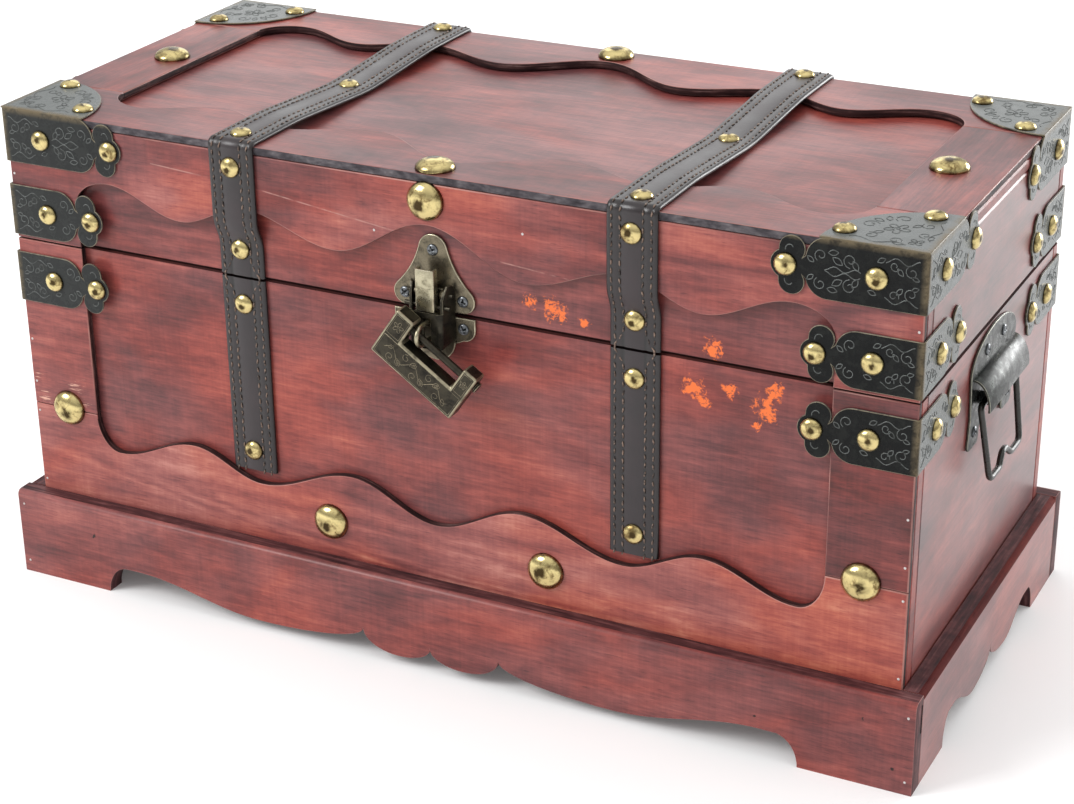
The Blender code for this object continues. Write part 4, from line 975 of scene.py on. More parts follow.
# Raised lines, rubbed paler, with a painted shade where they are seen at a low angle.
rubbed_line = metal("rubbed_line", (0.11, 0.12, 0.115), (0.035, 0.037, 0.035), (0.2, 0.2, 0.18),
                    0.4, 0.3, (0.3, 0.45), grazing_light=(0.03, 0.032, 0.031))
handle_steel = metal("handle_steel", (0.066, 0.074, 0.068), (0.01, 0.011, 0.01), (0.26, 0.26, 0.21),
                     0.85, 0.5, (0.22, 0.4), gleam=0.35)
black_wire = metal("black_wire", (0.016, 0.016, 0.013), (0.03, 0.028, 0.022), (0.2, 0.2, 0.15), 0.5, 0.0,
                   (0.2, 0.35))
# Its worn colour is dark brown: low on each dome a painted dark reflection over some tarnish, and a dark spot
# beside the crown.
nail_brass = metal("nail_brass", (0.66, 0.54, 0.25), (0.17, 0.115, 0.045), (0.055, 0.037, 0.016),
                   0.42, 1.0, (0.11, 0.32), bump=0.08)
bronze = metal("antique_bronze", (0.17, 0.145, 0.1), (0.06, 0.052, 0.038), (0.52, 0.47, 0.34),
               0.45, 0.9, (0.24, 0.42))
bright_bronze = metal("bright_bronze", (0.44, 0.4, 0.28), (0.16, 0.14, 0.09), (0.66, 0.62, 0.48),
                      0.35, 0.95, (0.22, 0.4))
dark_bronze = metal("dark_bronze", (0.046, 0.04, 0.028), (0.016, 0.014, 0.011), (0.36, 0.32, 0.22),
                    0.5, 0.8, (0.28, 0.48), bump=0.6)
# Its worn colour is near black: a painted shade in the cross recess and round the foot of each head.
screw_steel = metal("screw_steel", (0.17, 0.18, 0.19), (0.075, 0.08, 0.088), (0.006, 0.006, 0.007),
                    0.2, 0.9, (0.25, 0.35), bump=0.03)
saw_slot = metal("saw_slot", (0.006, 0.005, 0.005), (0.012, 0.01, 0.01), (0.012, 0.01, 0.01), 0.5, 0.0,
                 (0.7, 0.9), gleam=0.1)
pin_white = metal("pin_white", (0.5, 0.46, 0.44), (0.35, 0.25, 0.22), (0.8, 0.8, 0.8), 0.2, 0.2, (0.4, 0.6))
metals = (black_steel, rubbed_line, handle_steel, black_wire, nail_brass, bronze, bright_bronze, dark_bronze,
          screw_steel, saw_slot, pin_white)
print("metals:", [made.name for made in metals])


# %% Leather and thread
def make_leather():
    """Black leather with pores, creases and softly rubbed places."""
    material, tree, shader = plain_material("black_leather")
    spot = add(tree, "ShaderNodeTexCoord")
    here = (spot, "Object")
    pores = noise(here, (1500, 1500, 1500), 2, 0.5)
    creases = noise(here, (260, 260, 260), 4, 0.6, 0.8)
    rubs = noise(here, (40, 40, 40), 3, 0.55)
    colour = ramped(rubs, (0.3, (0.01, 0.006, 0.007)), (0.7, (0.023, 0.014, 0.016)))
    # The groove attribute darkens the leather: a painted shade in the stitch grooves and on the strap's
    # sides, a little less between the rows and out to the edge.
    edge = add(tree, "ShaderNodeAttribute", attribute_name="groove")
    colour = mixed((edge, "Fac"), colour, (0.007, 0.005, 0.005))
    join(colour, (shader, "Base Color"))
    join(level_range(rubs, 0.3, 0.7, 0.3, 0.42), (shader, "Roughness"))
    fill(shader, Coat_Weight=0.18, Coat_Roughness=0.3)
    height = calc("ADD", calc("MULTIPLY", pores, 0.4), calc("MULTIPLY", creases, 0.6))
    add_relief(shader, height, 0.25, 0.0004)
    return material


def make_thread():
    """Dark waxed thread, lighter in small random flecks along its twist, a painted highlight."""
    material, tree, shader = plain_material("waxed_thread")
    spot = add(tree, "ShaderNodeTexCoord")
    twist = noise((spot, "Object"), (700, 700, 700), 2, 0.5)
    colour = ramped(twist, (0.38, (0.02, 0.012, 0.01)), (0.6, (0.21, 0.14, 0.105)))
    join(colour, (shader, "Base Color"))
    fill(shader, Roughness=0.5)
    add_relief(shader, twist, 0.5, 0.0003)
    return material


leather = make_leather()
thread = make_thread()
print("finishes:", len(bpy.data.materials))

# %% [markdown]
# ## Geometry Nodes trees
#
# Nails, screws, stitches and raised lines repeat all over the chest. They could be copied one by
# one, but a Geometry Nodes tree for each kind keeps their shape in one place. The domes and screws
# stand on loose points that carry a vector, the way out of the face that they sit on. The stitches
# and lines follow a path. Each tree ends in real geometry, and the result is kept as a plain mesh.


# %% Tree helpers
def finish_tree(tree, start, end, geometry):
    """Realises what there is, gives it the tree's material and sends it out."""
    real = add(tree, "GeometryNodeRealizeInstances")
    shade = add(tree, "GeometryNodeSetShadeSmooth", Shade_Smooth=True)
    paint = add(tree, "GeometryNodeSetMaterial")
    join(geometry, (real, 0))
    join((real, 0), (shade, 0))
    join((shade, 0), (paint, 0))
    join((start, "Material"), (paint, "Material"))
    join((paint, 0), (end, 0))


def grown(name, tree, mesh, **values):
    """The plain mesh that a tree makes of a mesh. Inputs are set by their identifiers."""
    base = in_scene(name, mesh)
    step = base.modifiers.new("grow", "NODES")
    step.node_group = tree
    for item in tree.interface.items_tree:
        if item.in_out == "INPUT" and item.name.replace(" ", "_") in values:
            step[item.identifier] = values[item.name.replace(" ", "_")]
    graph = bpy.context.evaluated_depsgraph_get()
    made = bpy.data.meshes.new_from_object(base.evaluated_get(graph))
    base.modifiers.clear()
    bpy.data.objects.remove(base)
    return made


def paths_mesh(paths):
    """Edge paths from lists of (point, way) pairs, with the vector attribute way."""
    verts = [tuple(p) for path in paths for p, way in path]
    edges, first = [], 0
    for path in paths:
        edges += [(first + i, first + i + 1) for i in range(len(path) - 1)]
        first += len(path)
    mesh = bpy.data.meshes.new("paths")
    mesh.from_pydata(verts, edges, [])
    held = mesh.attributes.new("way", "FLOAT_VECTOR", "POINT")
    held.data.foreach_set("vector", [c for path in paths for p, way in path for c in way])
    return mesh


def points_mesh(places):
    """Loose points from (point, way) pairs."""
    return paths_mesh([[place] for place in places])


def vector_of(x=None, y=None, z=None):
    """A vector of up to three pairs. What isn't given is 0."""
    made = add(tree_of(x, y, z), "ShaderNodeCombineXYZ")
    for axis, source in (("X", x), ("Y", y), ("Z", z)):
        if source:
            join(source, (made, axis))
    return made, 0


def facing(tree):
    """A rotation that turns Z to the point's way."""
    way = add(tree, "GeometryNodeInputNamedAttribute", data_type="FLOAT_VECTOR", Name="way")
    turn = add(tree, "FunctionNodeAlignRotationToVector", axis="Z")
    join((way, 0), (turn, "Vector"))
    return turn, 0


def turned_by(rotation, angle):
    """A rotation that then turns further about its own Z."""
    turn = add(tree_of(rotation), "FunctionNodeRotateRotation", rotation_space="LOCAL")
    join(rotation, (turn, 0))
    join(vector_of(z=angle), (turn, 1))
    return turn, 0


def stood(points, shape, rotation):
    """A copy of a shape on every point."""
    stand = add(tree_of(points), "GeometryNodeInstanceOnPoints")
    for source, socket in ((points, "Points"), (shape, "Instance"), (rotation, "Rotation")):
        join(source, (stand, socket))
    return stand, 0


print("tree helpers:", [helper.__name__ for helper in (finish_tree, grown, stood)])


# %% Dome tree
def with_rim(source, value):
    """Geometry that carries a pair or a number as the point attribute rim."""
    made = add(tree_of(source), "GeometryNodeStoreNamedAttribute", data_type="FLOAT", domain="POINT",
               Name="rim")
    join(source, (made, 0))
    feed(made, "Value", value)
    return made, 0


def head_shape(tree, start):
    """A sphere, stretched to the head's radius and height, with its lower half pressed flat. It carries
    rim low down and in a spot beside the crown, where the metal's worn colour goes: on the nails a
    painted dark reflection over some tarnish low down, and on the screws a painted shade."""
    ball = add(tree, "GeometryNodeMeshUVSphere", Rings=12, Radius=1.0)
    join((start, "Sides"), (ball, "Segments"))
    split = parts((add(tree, "GeometryNodeInputPosition"), 0))
    base = calc("MINIMUM", calc("MAXIMUM", (split, "Z"), -0.06), 0.0)
    crown = calc("POWER", calc("MAXIMUM", (split, "Z"), 0.0), 0.9)
    rise = calc("ADD", crown, base)
    lower = level_range((split, "Z"), 0.55, 0.1)
    aside = calc("MULTIPLY_ADD", (split, "X"), 0.2, calc("MULTIPLY", (split, "Z"), 0.98))
    centre = level_range(aside, 0.93, 0.985, 0.0, 1.7)
    shaped = add(tree, "GeometryNodeSetPosition")
    join(with_rim((ball, 0), calc("MAXIMUM", lower, centre)), (shaped, 0))
    whole = vector_of(calc("MULTIPLY", (split, "X"), (start, "Radius")),
                      calc("MULTIPLY", (split, "Y"), (start, "Radius")),
                      calc("MULTIPLY", rise, (start, "Height")))
    join(whole, (shaped, "Position"))
    return shaped, 0


def with_recess(tree, start, head):
    """The head with a cross recess, cut by two crossed bars."""
    bar = add(tree, "GeometryNodeMeshCube")
    size = vector_of(calc("MULTIPLY", (start, "Radius"), 1.3),
                     calc("MULTIPLY", (start, "Radius"), 0.34),
                     calc("MULTIPLY", (start, "Height"), 1.2))
    join(size, (bar, "Size"))
    raised = add(tree, "GeometryNodeTransform")
    # The bars carry rim 1, so the recess takes the metal's worn colour; on the screws that is a painted
    # shade.
    join(with_rim((bar, 0), 1.0), (raised, 0))
    join(vector_of(z=(start, "Height")), (raised, "Translation"))
    crossed = add(tree, "GeometryNodeTransform", Rotation=(0, 0, pi / 2))
    join((raised, 0), (crossed, 0))
    carve = add(tree, "GeometryNodeMeshBoolean", operation="DIFFERENCE")
    join(head, (carve, "Mesh 1"))
    join((raised, 0), (carve, "Mesh 2"))
    join((crossed, 0), (carve, "Mesh 2"))
    return carve, "Mesh"


def make_dome_tree():
    """A domed head on each point, with or without a cross recess, turned at random."""
    tree, start, end = new_tree(
        "dome_heads", "GeometryNodeTree",
        {"Geometry": "Geometry", "Radius": 0.0056, "Height": 0.0032, "Sides": 24, "Cross": False, "Seed": 3,
         "Material": "Material"}, {"Geometry": "Geometry"})
    head = head_shape(tree, start)
    choice = add(tree, "GeometryNodeSwitch", input_type="GEOMETRY")
    join((start, "Cross"), (choice, "Switch"))
    join(head, (choice, "False"))
    join(with_recess(tree, start, head), (choice, "True"))
    spin = add(tree, "FunctionNodeRandomValue", data_type="FLOAT")
    spin.inputs[3].default_value = tau
    join((start, "Seed"), (spin, "Seed"))
    turn = turned_by(facing(tree), (spin, 1))
    finish_tree(tree, start, end, stood((start, 0), (choice, 0), turn))
    return tree


dome_tree = make_dome_tree()
print("nodes in the dome tree:", len(dome_tree.nodes))


# %% Line and stitch trees
def make_line_tree():
    """A round wire or raised line along every edge path of a mesh."""
    tree, start, end = new_tree(
        "lines_along_paths", "GeometryNodeTree",
        {"Geometry": "Geometry", "Radius": 0.0003, "Sides": 6, "Material": "Material"},
        {"Geometry": "Geometry"})
    path = add(tree, "GeometryNodeMeshToCurve")
    ring = add(tree, "GeometryNodeCurvePrimitiveCircle")
    tube = add(tree, "GeometryNodeCurveToMesh", Fill_Caps=True)
    join((start, 0), (path, 0))
    join((start, "Sides"), (ring, "Resolution"))
    join((start, "Radius"), (ring, "Radius"))
    join((path, 0), (tube, "Curve"))
    join((ring, 0), (tube, "Profile Curve"))
    finish_tree(tree, start, end, (tube, 0))
    return tree


def make_stitch_tree():
    """Thread stitches at an even pitch along each path, lying on the surface under the path."""
    tree, start, end = new_tree(
        "stitches_along_paths", "GeometryNodeTree",
        {"Geometry": "Geometry", "Pitch": 0.0044, "Length": 0.0033, "Width": 0.001, "Sway": 0.24,
         "Seed": 5, "Material": "Material"}, {"Geometry": "Geometry"})
    path = add(tree, "GeometryNodeMeshToCurve")
    even = add(tree, "GeometryNodeResampleCurve", mode="LENGTH")
    join((start, 0), (path, 0))
    join((path, 0), (even, 0))
    join((start, "Pitch"), (even, "Length"))
    ball = add(tree, "GeometryNodeMeshUVSphere", Segments=6, Rings=5, Radius=0.5)
    pulled = add(tree, "GeometryNodeTransform")
    join((ball, 0), (pulled, 0))
    size = vector_of((start, "Length"), (start, "Width"), (start, "Width"))
    join(size, (pulled, "Scale"))
    tangent = add(tree, "GeometryNodeInputTangent")
    lie = add(tree, "FunctionNodeAlignRotationToVector", axis="X", pivot_axis="Z")
    join(facing(tree), (lie, "Rotation"))
    join((tangent, 0), (lie, "Vector"))
    sway = add(tree, "FunctionNodeRandomValue", data_type="FLOAT")
    join(calc("MULTIPLY", (start, "Sway"), -1.0), (sway, 2))
    join((start, "Sway"), (sway, 3))
    join((start, "Seed"), (sway, "Seed"))
    turn = turned_by((lie, 0), (sway, 1))
    finish_tree(tree, start, end, stood((even, 0), (pulled, 0), turn))
    return tree


line_tree = make_line_tree()
stitch_tree = make_stitch_tree()
print("trees:", [t.name for t in (dome_tree, line_tree, stitch_tree)])


# %% Places on a face
def on_face(face, across, rise, out=0.0):
    """A point on one of the chest's faces and the way out of it."""
    plane = face_frame(face, out)
    return plane @ Vector((across, rise, 0)), plane.to_3x3() @ Vector((0, 0, 1))


nail_places = {"box": [], "lid": []}
big_places = {"box": [], "lid": []}
screw_places = {"box": [], "lid": []}
print("the middle of the front:", on_face("front", 0.0, seam))

# %% [markdown]
# ## Leather straps
#
# A strap is a band of leather, 26 mm wide, folded round the lid. It lies on the frame boards, sags
# into the recess between them, and steps down from the valance to the lid's front. A cloth run would
# drape it, but its rest shape is simple, so a section is swept along a path. The section has softened
# edges and two shallow grooves along each side, where the stitching pulls the leather in.

# %% Strap band
strap_x, strap_width, strap_thick = 0.438 * half_width, 0.0262, 0.0025
edge_line, inner_line = 0.0102, 0.0058
strap_foot, strap_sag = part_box("body_strap_right")[0].z, 0.0043


def strap_section():
    """The section all round, as (across, height, groove), from its upper line's half."""
    half, thick = strap_width / 2, strap_thick
    # The third value is how much the leather is darkened: painted shade in the grooves and on the sides, less
    # between the rows and near the edge.
    upper = [(0.0, thick, 0), (inner_line - 0.0012, thick, 0), (inner_line - 0.0005, thick - 0.0003, 1),
             (inner_line + 0.0005, thick - 0.0003, 1), (inner_line + 0.0012, thick - 0.0001, 0.5),
             (edge_line - 0.001, thick - 0.0001, 0.5), (edge_line - 0.0004, thick - 0.0003, 1),
             (edge_line + 0.0004, thick - 0.0003, 1), (edge_line + 0.001, thick - 0.0002, 0.5),
             (half - 0.0008, thick - 0.0004, 0.7), (half - 0.0002, thick - 0.001, 1), (half, 0.0009, 1),
             (half - 0.0004, 0.0, 1)]
    return [(-a, h, g) for a, h, g in upper[:0:-1]] + upper


print("points round the strap's section:", len(strap_section()))


# %% Paths of the straps
def rounded_path(corners, count=7):
    """A path whose corners, each (point, cut-back), are rounded."""
    points = [Vector(corners[0][0])]
    for (before, x), (corner, back), (after, y) in zip(corners, corners[1:], corners[2:]):
        corner = Vector(corner)
        first = corner + (Vector(before) - corner).normalized() * back
        last = corner + (Vector(after) - corner).normalized() * back
        for i in range(count):
            t = i / (count - 1)
            points.append(first * (1 - t) ** 2 + corner * 2 * t * (1 - t) + last * t ** 2)
    points.append(Vector(corners[-1][0]))
    kept = [points[0]]
    for p in points[1:]:
        if (p - kept[-1]).length > 0.0002:
            kept.append(p)
    return kept


def path_normals(path):
    """The left of the path's way at each point."""
    normals = []
    for i in range(len(path)):
        way = (path[min(i + 1, len(path) - 1)] - path[max(i - 1, 0)]).normalized()
        normals.append(Vector((-way.y, way.x)))
    return normals


# %% Strap band along its path
def strap_mesh(path, x):
    """The section swept along a path in Y and Z, about the given x."""
    section = strap_section()
    normals = path_normals(path)
    work = bmesh.new()
    groove = work.verts.layers.float.new("groove")
    rings = []
    for p, n in zip(path, normals):
        ring = []
        for across, h, g in section:
            vert = work.verts.new((x + across, p.x + n.x * h, p.y + n.y * h))
            vert[groove] = g
            ring.append(vert)
        rings.append(ring)
    count = len(section)
    for low, high in zip(rings, rings[1:]):
        for i in range(count):
            j = (i + 1) % count
            work.faces.new((low[i], low[j], high[j], high[i])).smooth = True
    work.faces.new(rings[0][::-1])
    work.faces.new(rings[-1])
    bmesh.ops.recalc_face_normals(work, faces=work.faces)
    for line in work.edges:
        line.smooth = line.calc_face_angle(0.0) < radians(50)
    return kept_mesh(work, "strap")


def lid_strap_path():
    """From the seam, up the front, over the top and a little way down the back, in Y and Z."""
    bend = 0.0022
    face, top = front_y - fit, top_z + fit
    climb = half_depth - 0.0435
    step = top_z - 0.59 * lid_height
    corners = [((panel_y - fit, lid_low + fit), 0), ((panel_y - fit, step - 0.14 * lid_height), 0.004),
               ((face, step), 0.004), ((face, top), bend), ((middle_y - climb, top), 0.008),
               ((middle_y, top - strap_sag), 0.012), ((middle_y + climb, top), 0.008),
               ((back_y + fit, top), bend),
               ((back_y + fit, top_z - 0.506 * lid_height), 0)]
    return rounded_path(corners)


def stitch_rows(line, x):
    """Two rows along each side of a line of (point, way out) pairs. The line starts at the seam,
    where the inner row turns out to the outer one."""
    first, out = line[0]
    way = (line[1][0] - first).normalized()
    start, bend, rise = first + way * 0.0012, first + way * 0.007, strap_thick - 0.00015
    later = [(bend, out)] + [item for item in line if (item[0] - first).length > 0.0071]
    rows = []
    for side in (-1, 1):
        row = [(side * edge_line, *item) for item in line]
        turned = [(side * edge_line * 0.96, start, out)] + [(side * inner_line, *item) for item in later]
        for points in (row, turned):
            rows.append([((x + across, p.x + n.x * rise, p.y + n.y * rise), (0, n.x, n.y))
                         for across, p, n in points])
    return rows


# %% Make the straps
def make_straps():
    """The four straps with their stitches, and the places of their nails."""
    lid_path = lid_strap_path()
    body_path = [Vector((panel_y - fit, strap_foot + (seam - fit - strap_foot) * i / 12)) for i in range(13)]
    for side, x in (("left", -strap_x), ("right", strap_x)):
        for part, body, path, seed in (("lid", "lid", lid_path, 5), ("body", "box", body_path, 9)):
            name = f"{part}_strap_{side}"
            strap = new_piece(name + "_band", strap_mesh(path, x), body, "dark_leather", leather)
            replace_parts(strap, name)
            line = list(zip(path, path_normals(path)))
            rows = stitch_rows(line if part == "lid" else line[::-1], x)
            mesh = grown("stitches", stitch_tree, paths_mesh(rows), Seed=seed, Material=thread)
            new_piece(name + "_stitches", mesh, body, "dark_leather")
        skin = fit + strap_thick - 0.0003
        end = half_depth - 0.009
        nail_places["lid"] += [on_face("front", x, top_z - 0.1615 * lid_height, skin),
                               on_face("front", x, top_z - 0.7935 * lid_height, skin - recess),
                               on_face("top", x, -end, skin), on_face("top", x, end, skin),
                               on_face("top", x, 0.0, skin - strap_sag),
                               on_face("back", -x, top_z - 0.379 * lid_height, skin)]
        nail_places["box"] += [on_face("front", x, seam - fit - 0.014, skin - recess),
                               on_face("front", x, strap_foot + 0.0115, skin - recess)]


make_straps()
print("straps at x", round(strap_x, 4), "with nails:", {body: len(v) for body, v in nail_places.items()})

# %% [markdown]
# ## Corner brackets
#
# A bracket is one stamping: a strip with a flower at each end, folded round the corner. Two flat
# plates that meet would leave a gap at the edge. So it's drawn flat, given its thickness and its
# rounded rim, and only then folded. The top corners carry a quarter disc on the lid as well. Folding
# the finished sheet keeps the thickness true and gives the fold its small radius.

# %% Bracket outline
sheet = 0.001
wing_half = 0.014
lobe_radius, lobe_rise, lobe_back, tip_radius = 0.0063, 0.0078, 0.003, 0.0072
neck_back, neck_half, shoulder = 0.0095, 0.0055, 0.0105
near_nail, nail_clear = 0.0225, 0.0062
short_flower, long_flower = 0.05, 0.0655
fold = 0.0008 * pi / 4


def lobe_reach(ray, middle, radius):
    """How far a ray from the flower's middle runs before it leaves a lobe."""
    along = middle.dot(ray)
    inside = radius ** 2 - middle.length_squared + along ** 2
    return along + sqrt(inside) if inside > 0 else 0.0


def flower_line(flower, count=57):
    """Round the three lobes of a flower, from neck to neck."""
    centre = Vector((flower - lobe_back, 0.0))
    lobes = [(Vector((0.0, lobe_rise)), lobe_radius), (Vector((0.0, -lobe_rise)), lobe_radius),
             (Vector((lobe_back, 0.0)), tip_radius)]
    neck = Vector((lobe_back - neck_back, neck_half))
    open_angle = atan2(neck.y, neck.x)
    points = []
    for i in range(count):
        angle = open_angle * (2 * i / (count - 1) - 1)
        ray = Vector((cos(angle), sin(angle)))
        points.append(tuple(centre + ray * max(lobe_reach(ray, m, r) for m, r in lobes)))
    return points


def wing_line(flower, upper_half):
    """Along the lower edge to the neck, round the flower and back along the upper edge."""
    neck_x = flower - neck_back
    sides = []
    for side, half in ((1, upper_half), (-1, wing_half)):
        curve = arc((neck_x - shoulder, half - shoulder), shoulder, shoulder, 90, 0, 12)
        line = [p for p in curve if p[1] > neck_half] + [(neck_x, neck_half)]
        sides.append([(s + fold, side * t) for s, t in line])
    upper, lower = sides
    return lower + [(s + fold, t) for s, t in flower_line(flower)] + upper[::-1]


def folder(side_x, side_y, height):
    """Takes a point of the flat strip (s, t, out) to its place round an upright corner. The strip's
    right half goes to the chest's front or back, its left half to the chest's end."""
    corner = Vector((side_x * half_width, middle_y + side_y * half_depth))
    faces = (Vector((-side_x, 0)), Vector((0, side_y))), (Vector((0, -side_y)), Vector((side_x, 0)))

    def place(p):
        """One point, flat or within the fold's small radius."""
        s, t, out = p
        if abs(s) >= fold:
            along, way = faces[0] if s > 0 else faces[1]
            flat = corner + along * (abs(s) - fold) + way * out
        else:
            turn = pi / 4 * (1 - s / fold)
            flat = corner + (faces[0][1] * cos(turn) + faces[1][1] * sin(turn)) * out
        return Vector((flat.x, flat.y, height + t))
    return place


def folded_strip(outline, place):
    """The flat stamping, cut along its fold and taken to its place."""
    flat = slab_mesh(outline, sheet, Matrix.Translation((0, 0, fit)), 0.00035)
    work = bmesh.new()
    work.from_mesh(flat)
    bpy.data.meshes.remove(flat)
    for i in range(5):
        cut = fold * (i - 2) / 2
        bmesh.ops.bisect_plane(work, geom=work.verts[:] + work.edges[:] + work.faces[:], dist=same_place,
                               plane_co=(cut, 0, 0), plane_no=(1, 0, 0))
    for vert in work.verts:
        vert.co = place(vert.co)
    bmesh.ops.recalc_face_normals(work, faces=work.faces)
    return kept_mesh(work, "strip")


print("points round a short wing:", len(wing_line(short_flower, wing_half)))

# %% [markdown]
# ### Raised ornament
#
# The stamping dies left raised vines on the wings: a stem that waves along the strip, curls that
# spring from it, small pointed leaves, and a five-petalled flower on the corner disc. A bump picture
# could fake them, but would look flat from the side. They're drawn as open paths on the flat strip,
# take the same fold, and become thin raised lines.

# %% Ornament lines
def curl(s, t, radius, start, sweep, count=14):
    """A curl that winds inwards: start and sweep are in degrees."""
    line = []
    for i in range(count):
        share = i / (count - 1)
        angle = radians(start + sweep * share)
        reach = radius * (1 - 0.72 * share)
        line.append((s + reach * cos(angle), t + reach * sin(angle)))
    return line


def leaf(s, t, length, angle, count=7):
    """A small pointed leaf as a closed line."""
    way = Vector((cos(radians(angle)), sin(radians(angle))))
    side = Vector((-way.y, way.x))
    upper = [Vector((s, t)) + way * length * i / (count - 1)
             + side * length * 0.26 * sin(pi * i / (count - 1)) for i in range(count)]
    lower = [2 * (Vector((s, t)) + way * length * i / (count - 1)) - p for i, p in enumerate(upper)]
    return [tuple(p) for p in upper + lower[-2::-1]]


print("points of a curl and of a leaf:", len(curl(0, 0, 1, 0, 360)), len(leaf(0, 0, 1, 0)))


# %% Ornament of a wing and of a disc
def petals(s, t, near, far, count=5, turn=0.0):
    """A small flower: a ring with open petals round it."""
    lines = [curl(s, t, near * 0.8, 0, 360, 9)]
    for i in range(count):
        middle = radians(turn + 360 * i / count)
        half = pi / count * 0.86
        line = []
        for j in range(9):
            share = j / 8 * 2 - 1
            reach = near + (far - near) * cos(share * pi / 2) ** 0.7
            angle = middle + share * half
            line.append((s + reach * cos(angle), t + reach * sin(angle)))
        lines.append(line)
    return lines


def wing_ornament(flower, upper_half):
    """Vines of one wing, from the corner to the flower."""
    neck_x = flower - neck_back
    top = min(upper_half, wing_half)
    lines = []
    for way in (1, -1):
        edge = way * (top - 0.0032)
        lines += [[(0.003 + i * 0.0013, edge - way * 0.0014 * (1 - cos(i * 0.75))) for i in range(13)],
                  curl(0.0065, way * 0.0052, 0.0034, 90 * way, -410 * way),
                  curl(0.0145, way * 0.007, 0.0026, 200, 380 * way),
                  curl(neck_x - 0.0072, way * 0.0068, 0.0032, -60 * way, 400 * way),
                  leaf(0.0105, way * 0.003, 0.0042, 50 * way),
                  leaf(0.003, way * 0.0018, 0.0036, 20 * way),
                  leaf(neck_x - 0.004, way * 0.003, 0.004, 40 * way),
                  leaf(near_nail, way * 0.0078, 0.0042, 150 if way > 0 else 20)]
        lines.append(curl(flower - lobe_back + 0.0004, way * lobe_rise, 0.004, 250 * way, 250 * way, 12))
        if flower == long_flower:
            lines += [curl(0.035, way * 0.0062, 0.0036, -90 * way, 410 * way),
                      leaf(0.0385, way * 0.0036, 0.0056, 32 * way),
                      leaf(0.0405, way * 0.0092, 0.005, -8 * way),
                      leaf(0.0312, way * 0.002, 0.005, 60 * way),
                      [(0.03 + i * 0.0014, way * (0.0012 + 0.0011 * sin(i * 0.9))) for i in range(13)]]
    return lines


def leaf_ornament():
    """Flowers and vines of the corner disc, as distances from the two edges."""
    lines = petals(0.0215, 0.0215, 0.0022, 0.0062, 5, 45) + petals(0.0085, 0.0085, 0.0012, 0.0038, 4, 45)
    for swap in (False, True):
        side = [curl(0.0345, 0.0225, 0.0042, 150, -420), curl(0.03, 0.0095, 0.0036, 60, 400),
                curl(0.018, 0.0075, 0.0032, 190, -400), leaf(0.026, 0.016, 0.0052, -40),
                leaf(0.03, 0.028, 0.0056, 20), leaf(0.0128, 0.004, 0.0052, 0),
                [(0.012 + i * 0.0026, 0.0036 + 0.0018 * sin(i * 0.9)) for i in range(11)]]
        lines += [[(b, a) for a, b in line] if swap else line for line in side]
    return lines


def clear_of(lines, nails):
    """The parts of the lines that don't run under a nail's dome."""
    kept = []
    for line in lines:
        run = []
        for p in line:
            if all((p[0] - a) ** 2 + (p[1] - b) ** 2 > nail_clear ** 2 for a, b in nails):
                run.append(p)
            else:
                kept.append(run)
                run = []
        kept.append(run)
    return [run for run in kept if len(run) > 2]


print("lines of a short wing:", len(wing_ornament(short_flower, wing_half)))


# %% Make the brackets
disc_radius, disc_nail = 0.05, (0.0425, 0.0107)


def make_bracket(name, body, side_x, side_y, height, flower, with_leaf=False):
    """The stamping, its raised lines and the places of its nails."""
    upper_half = top_z + fit + sheet * 0.55 - height if with_leaf else wing_half
    half_line = wing_line(flower, upper_half)
    outline = half_line + [(-s, t) for s, t in reversed(half_line)]
    place = folder(side_x, side_y, height)
    meshes = [folded_strip(outline, place)]
    nails = [(flower, 0.0), (near_nail, 0.0)]
    rise = fit + sheet - 0.00006
    paths = []
    for way in (1, -1):
        for line in clear_of(wing_ornament(flower, upper_half), nails):
            paths.append([(place((way * (s + fold), t, rise)), (0, 0, 1)) for s, t in line])
        for s, t in nails:
            spot = place((way * (s + fold), t, fit + sheet))
            out = place((way * (s + fold), t, fit + sheet + 1)) - spot
            nail_places[body].append((spot, out))
    if with_leaf:
        start = -(fit + sheet + 0.00002)
        disc = [(start, start), (disc_radius, start)]
        disc += arc((0, 0), disc_radius, disc_radius, 0, 90, 40) + [(start, disc_radius)]

        def on_lid(s, t):
            """A place on the lid's top, from its distances to the two edges."""
            return side_x * (half_width - s), side_y * (half_depth - t)

        meshes.append(slab_mesh([on_lid(s, t) for s, t in disc], sheet, face_frame("top", fit), 0.00042, 3))
        nails = [disc_nail, disc_nail[::-1]]
        nail_places[body] += [on_face("top", *on_lid(s, t), fit + sheet) for s, t in nails]
        for line in clear_of(leaf_ornament(), nails):
            paths.append([on_face("top", *on_lid(s, t), rise) for s, t in line])
    piece = new_piece(name + "_stamping", joined(meshes), body, "blackened_metal", black_steel, black_steel)
    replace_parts(piece, name)
    return paths


def make_brackets():
    """Three stampings at each corner, and one piece of raised lines for each body."""
    lines = {"box": [], "lid": []}
    high, low = top_z - 0.2037 * lid_height, lid_low + 0.2247 * lid_height
    for corner, x, y in (("front_left", -1, -1), ("front_right", 1, -1), ("back_left", -1, 1),
                         ("back_right", 1, 1)):
        lines["lid"] += make_bracket("lid_corner_" + corner, "lid", x, y, high, long_flower, True)
        lines["lid"] += make_bracket("lid_bracket_" + corner, "lid", x, y, low, short_flower)
        lines["box"] += make_bracket("body_bracket_" + corner, "box", x, y, seam - 0.021, short_flower)
    for body, paths in lines.items():
        mesh = grown("vines", line_tree, paths_mesh(paths), Radius=0.00028, Sides=5, Material=rubbed_line)
        new_piece(f"{body}_bracket_vines", mesh, body, "blackened_metal")


make_brackets()
print("brackets done; nails so far", {k: len(v) for k, v in nail_places.items()})

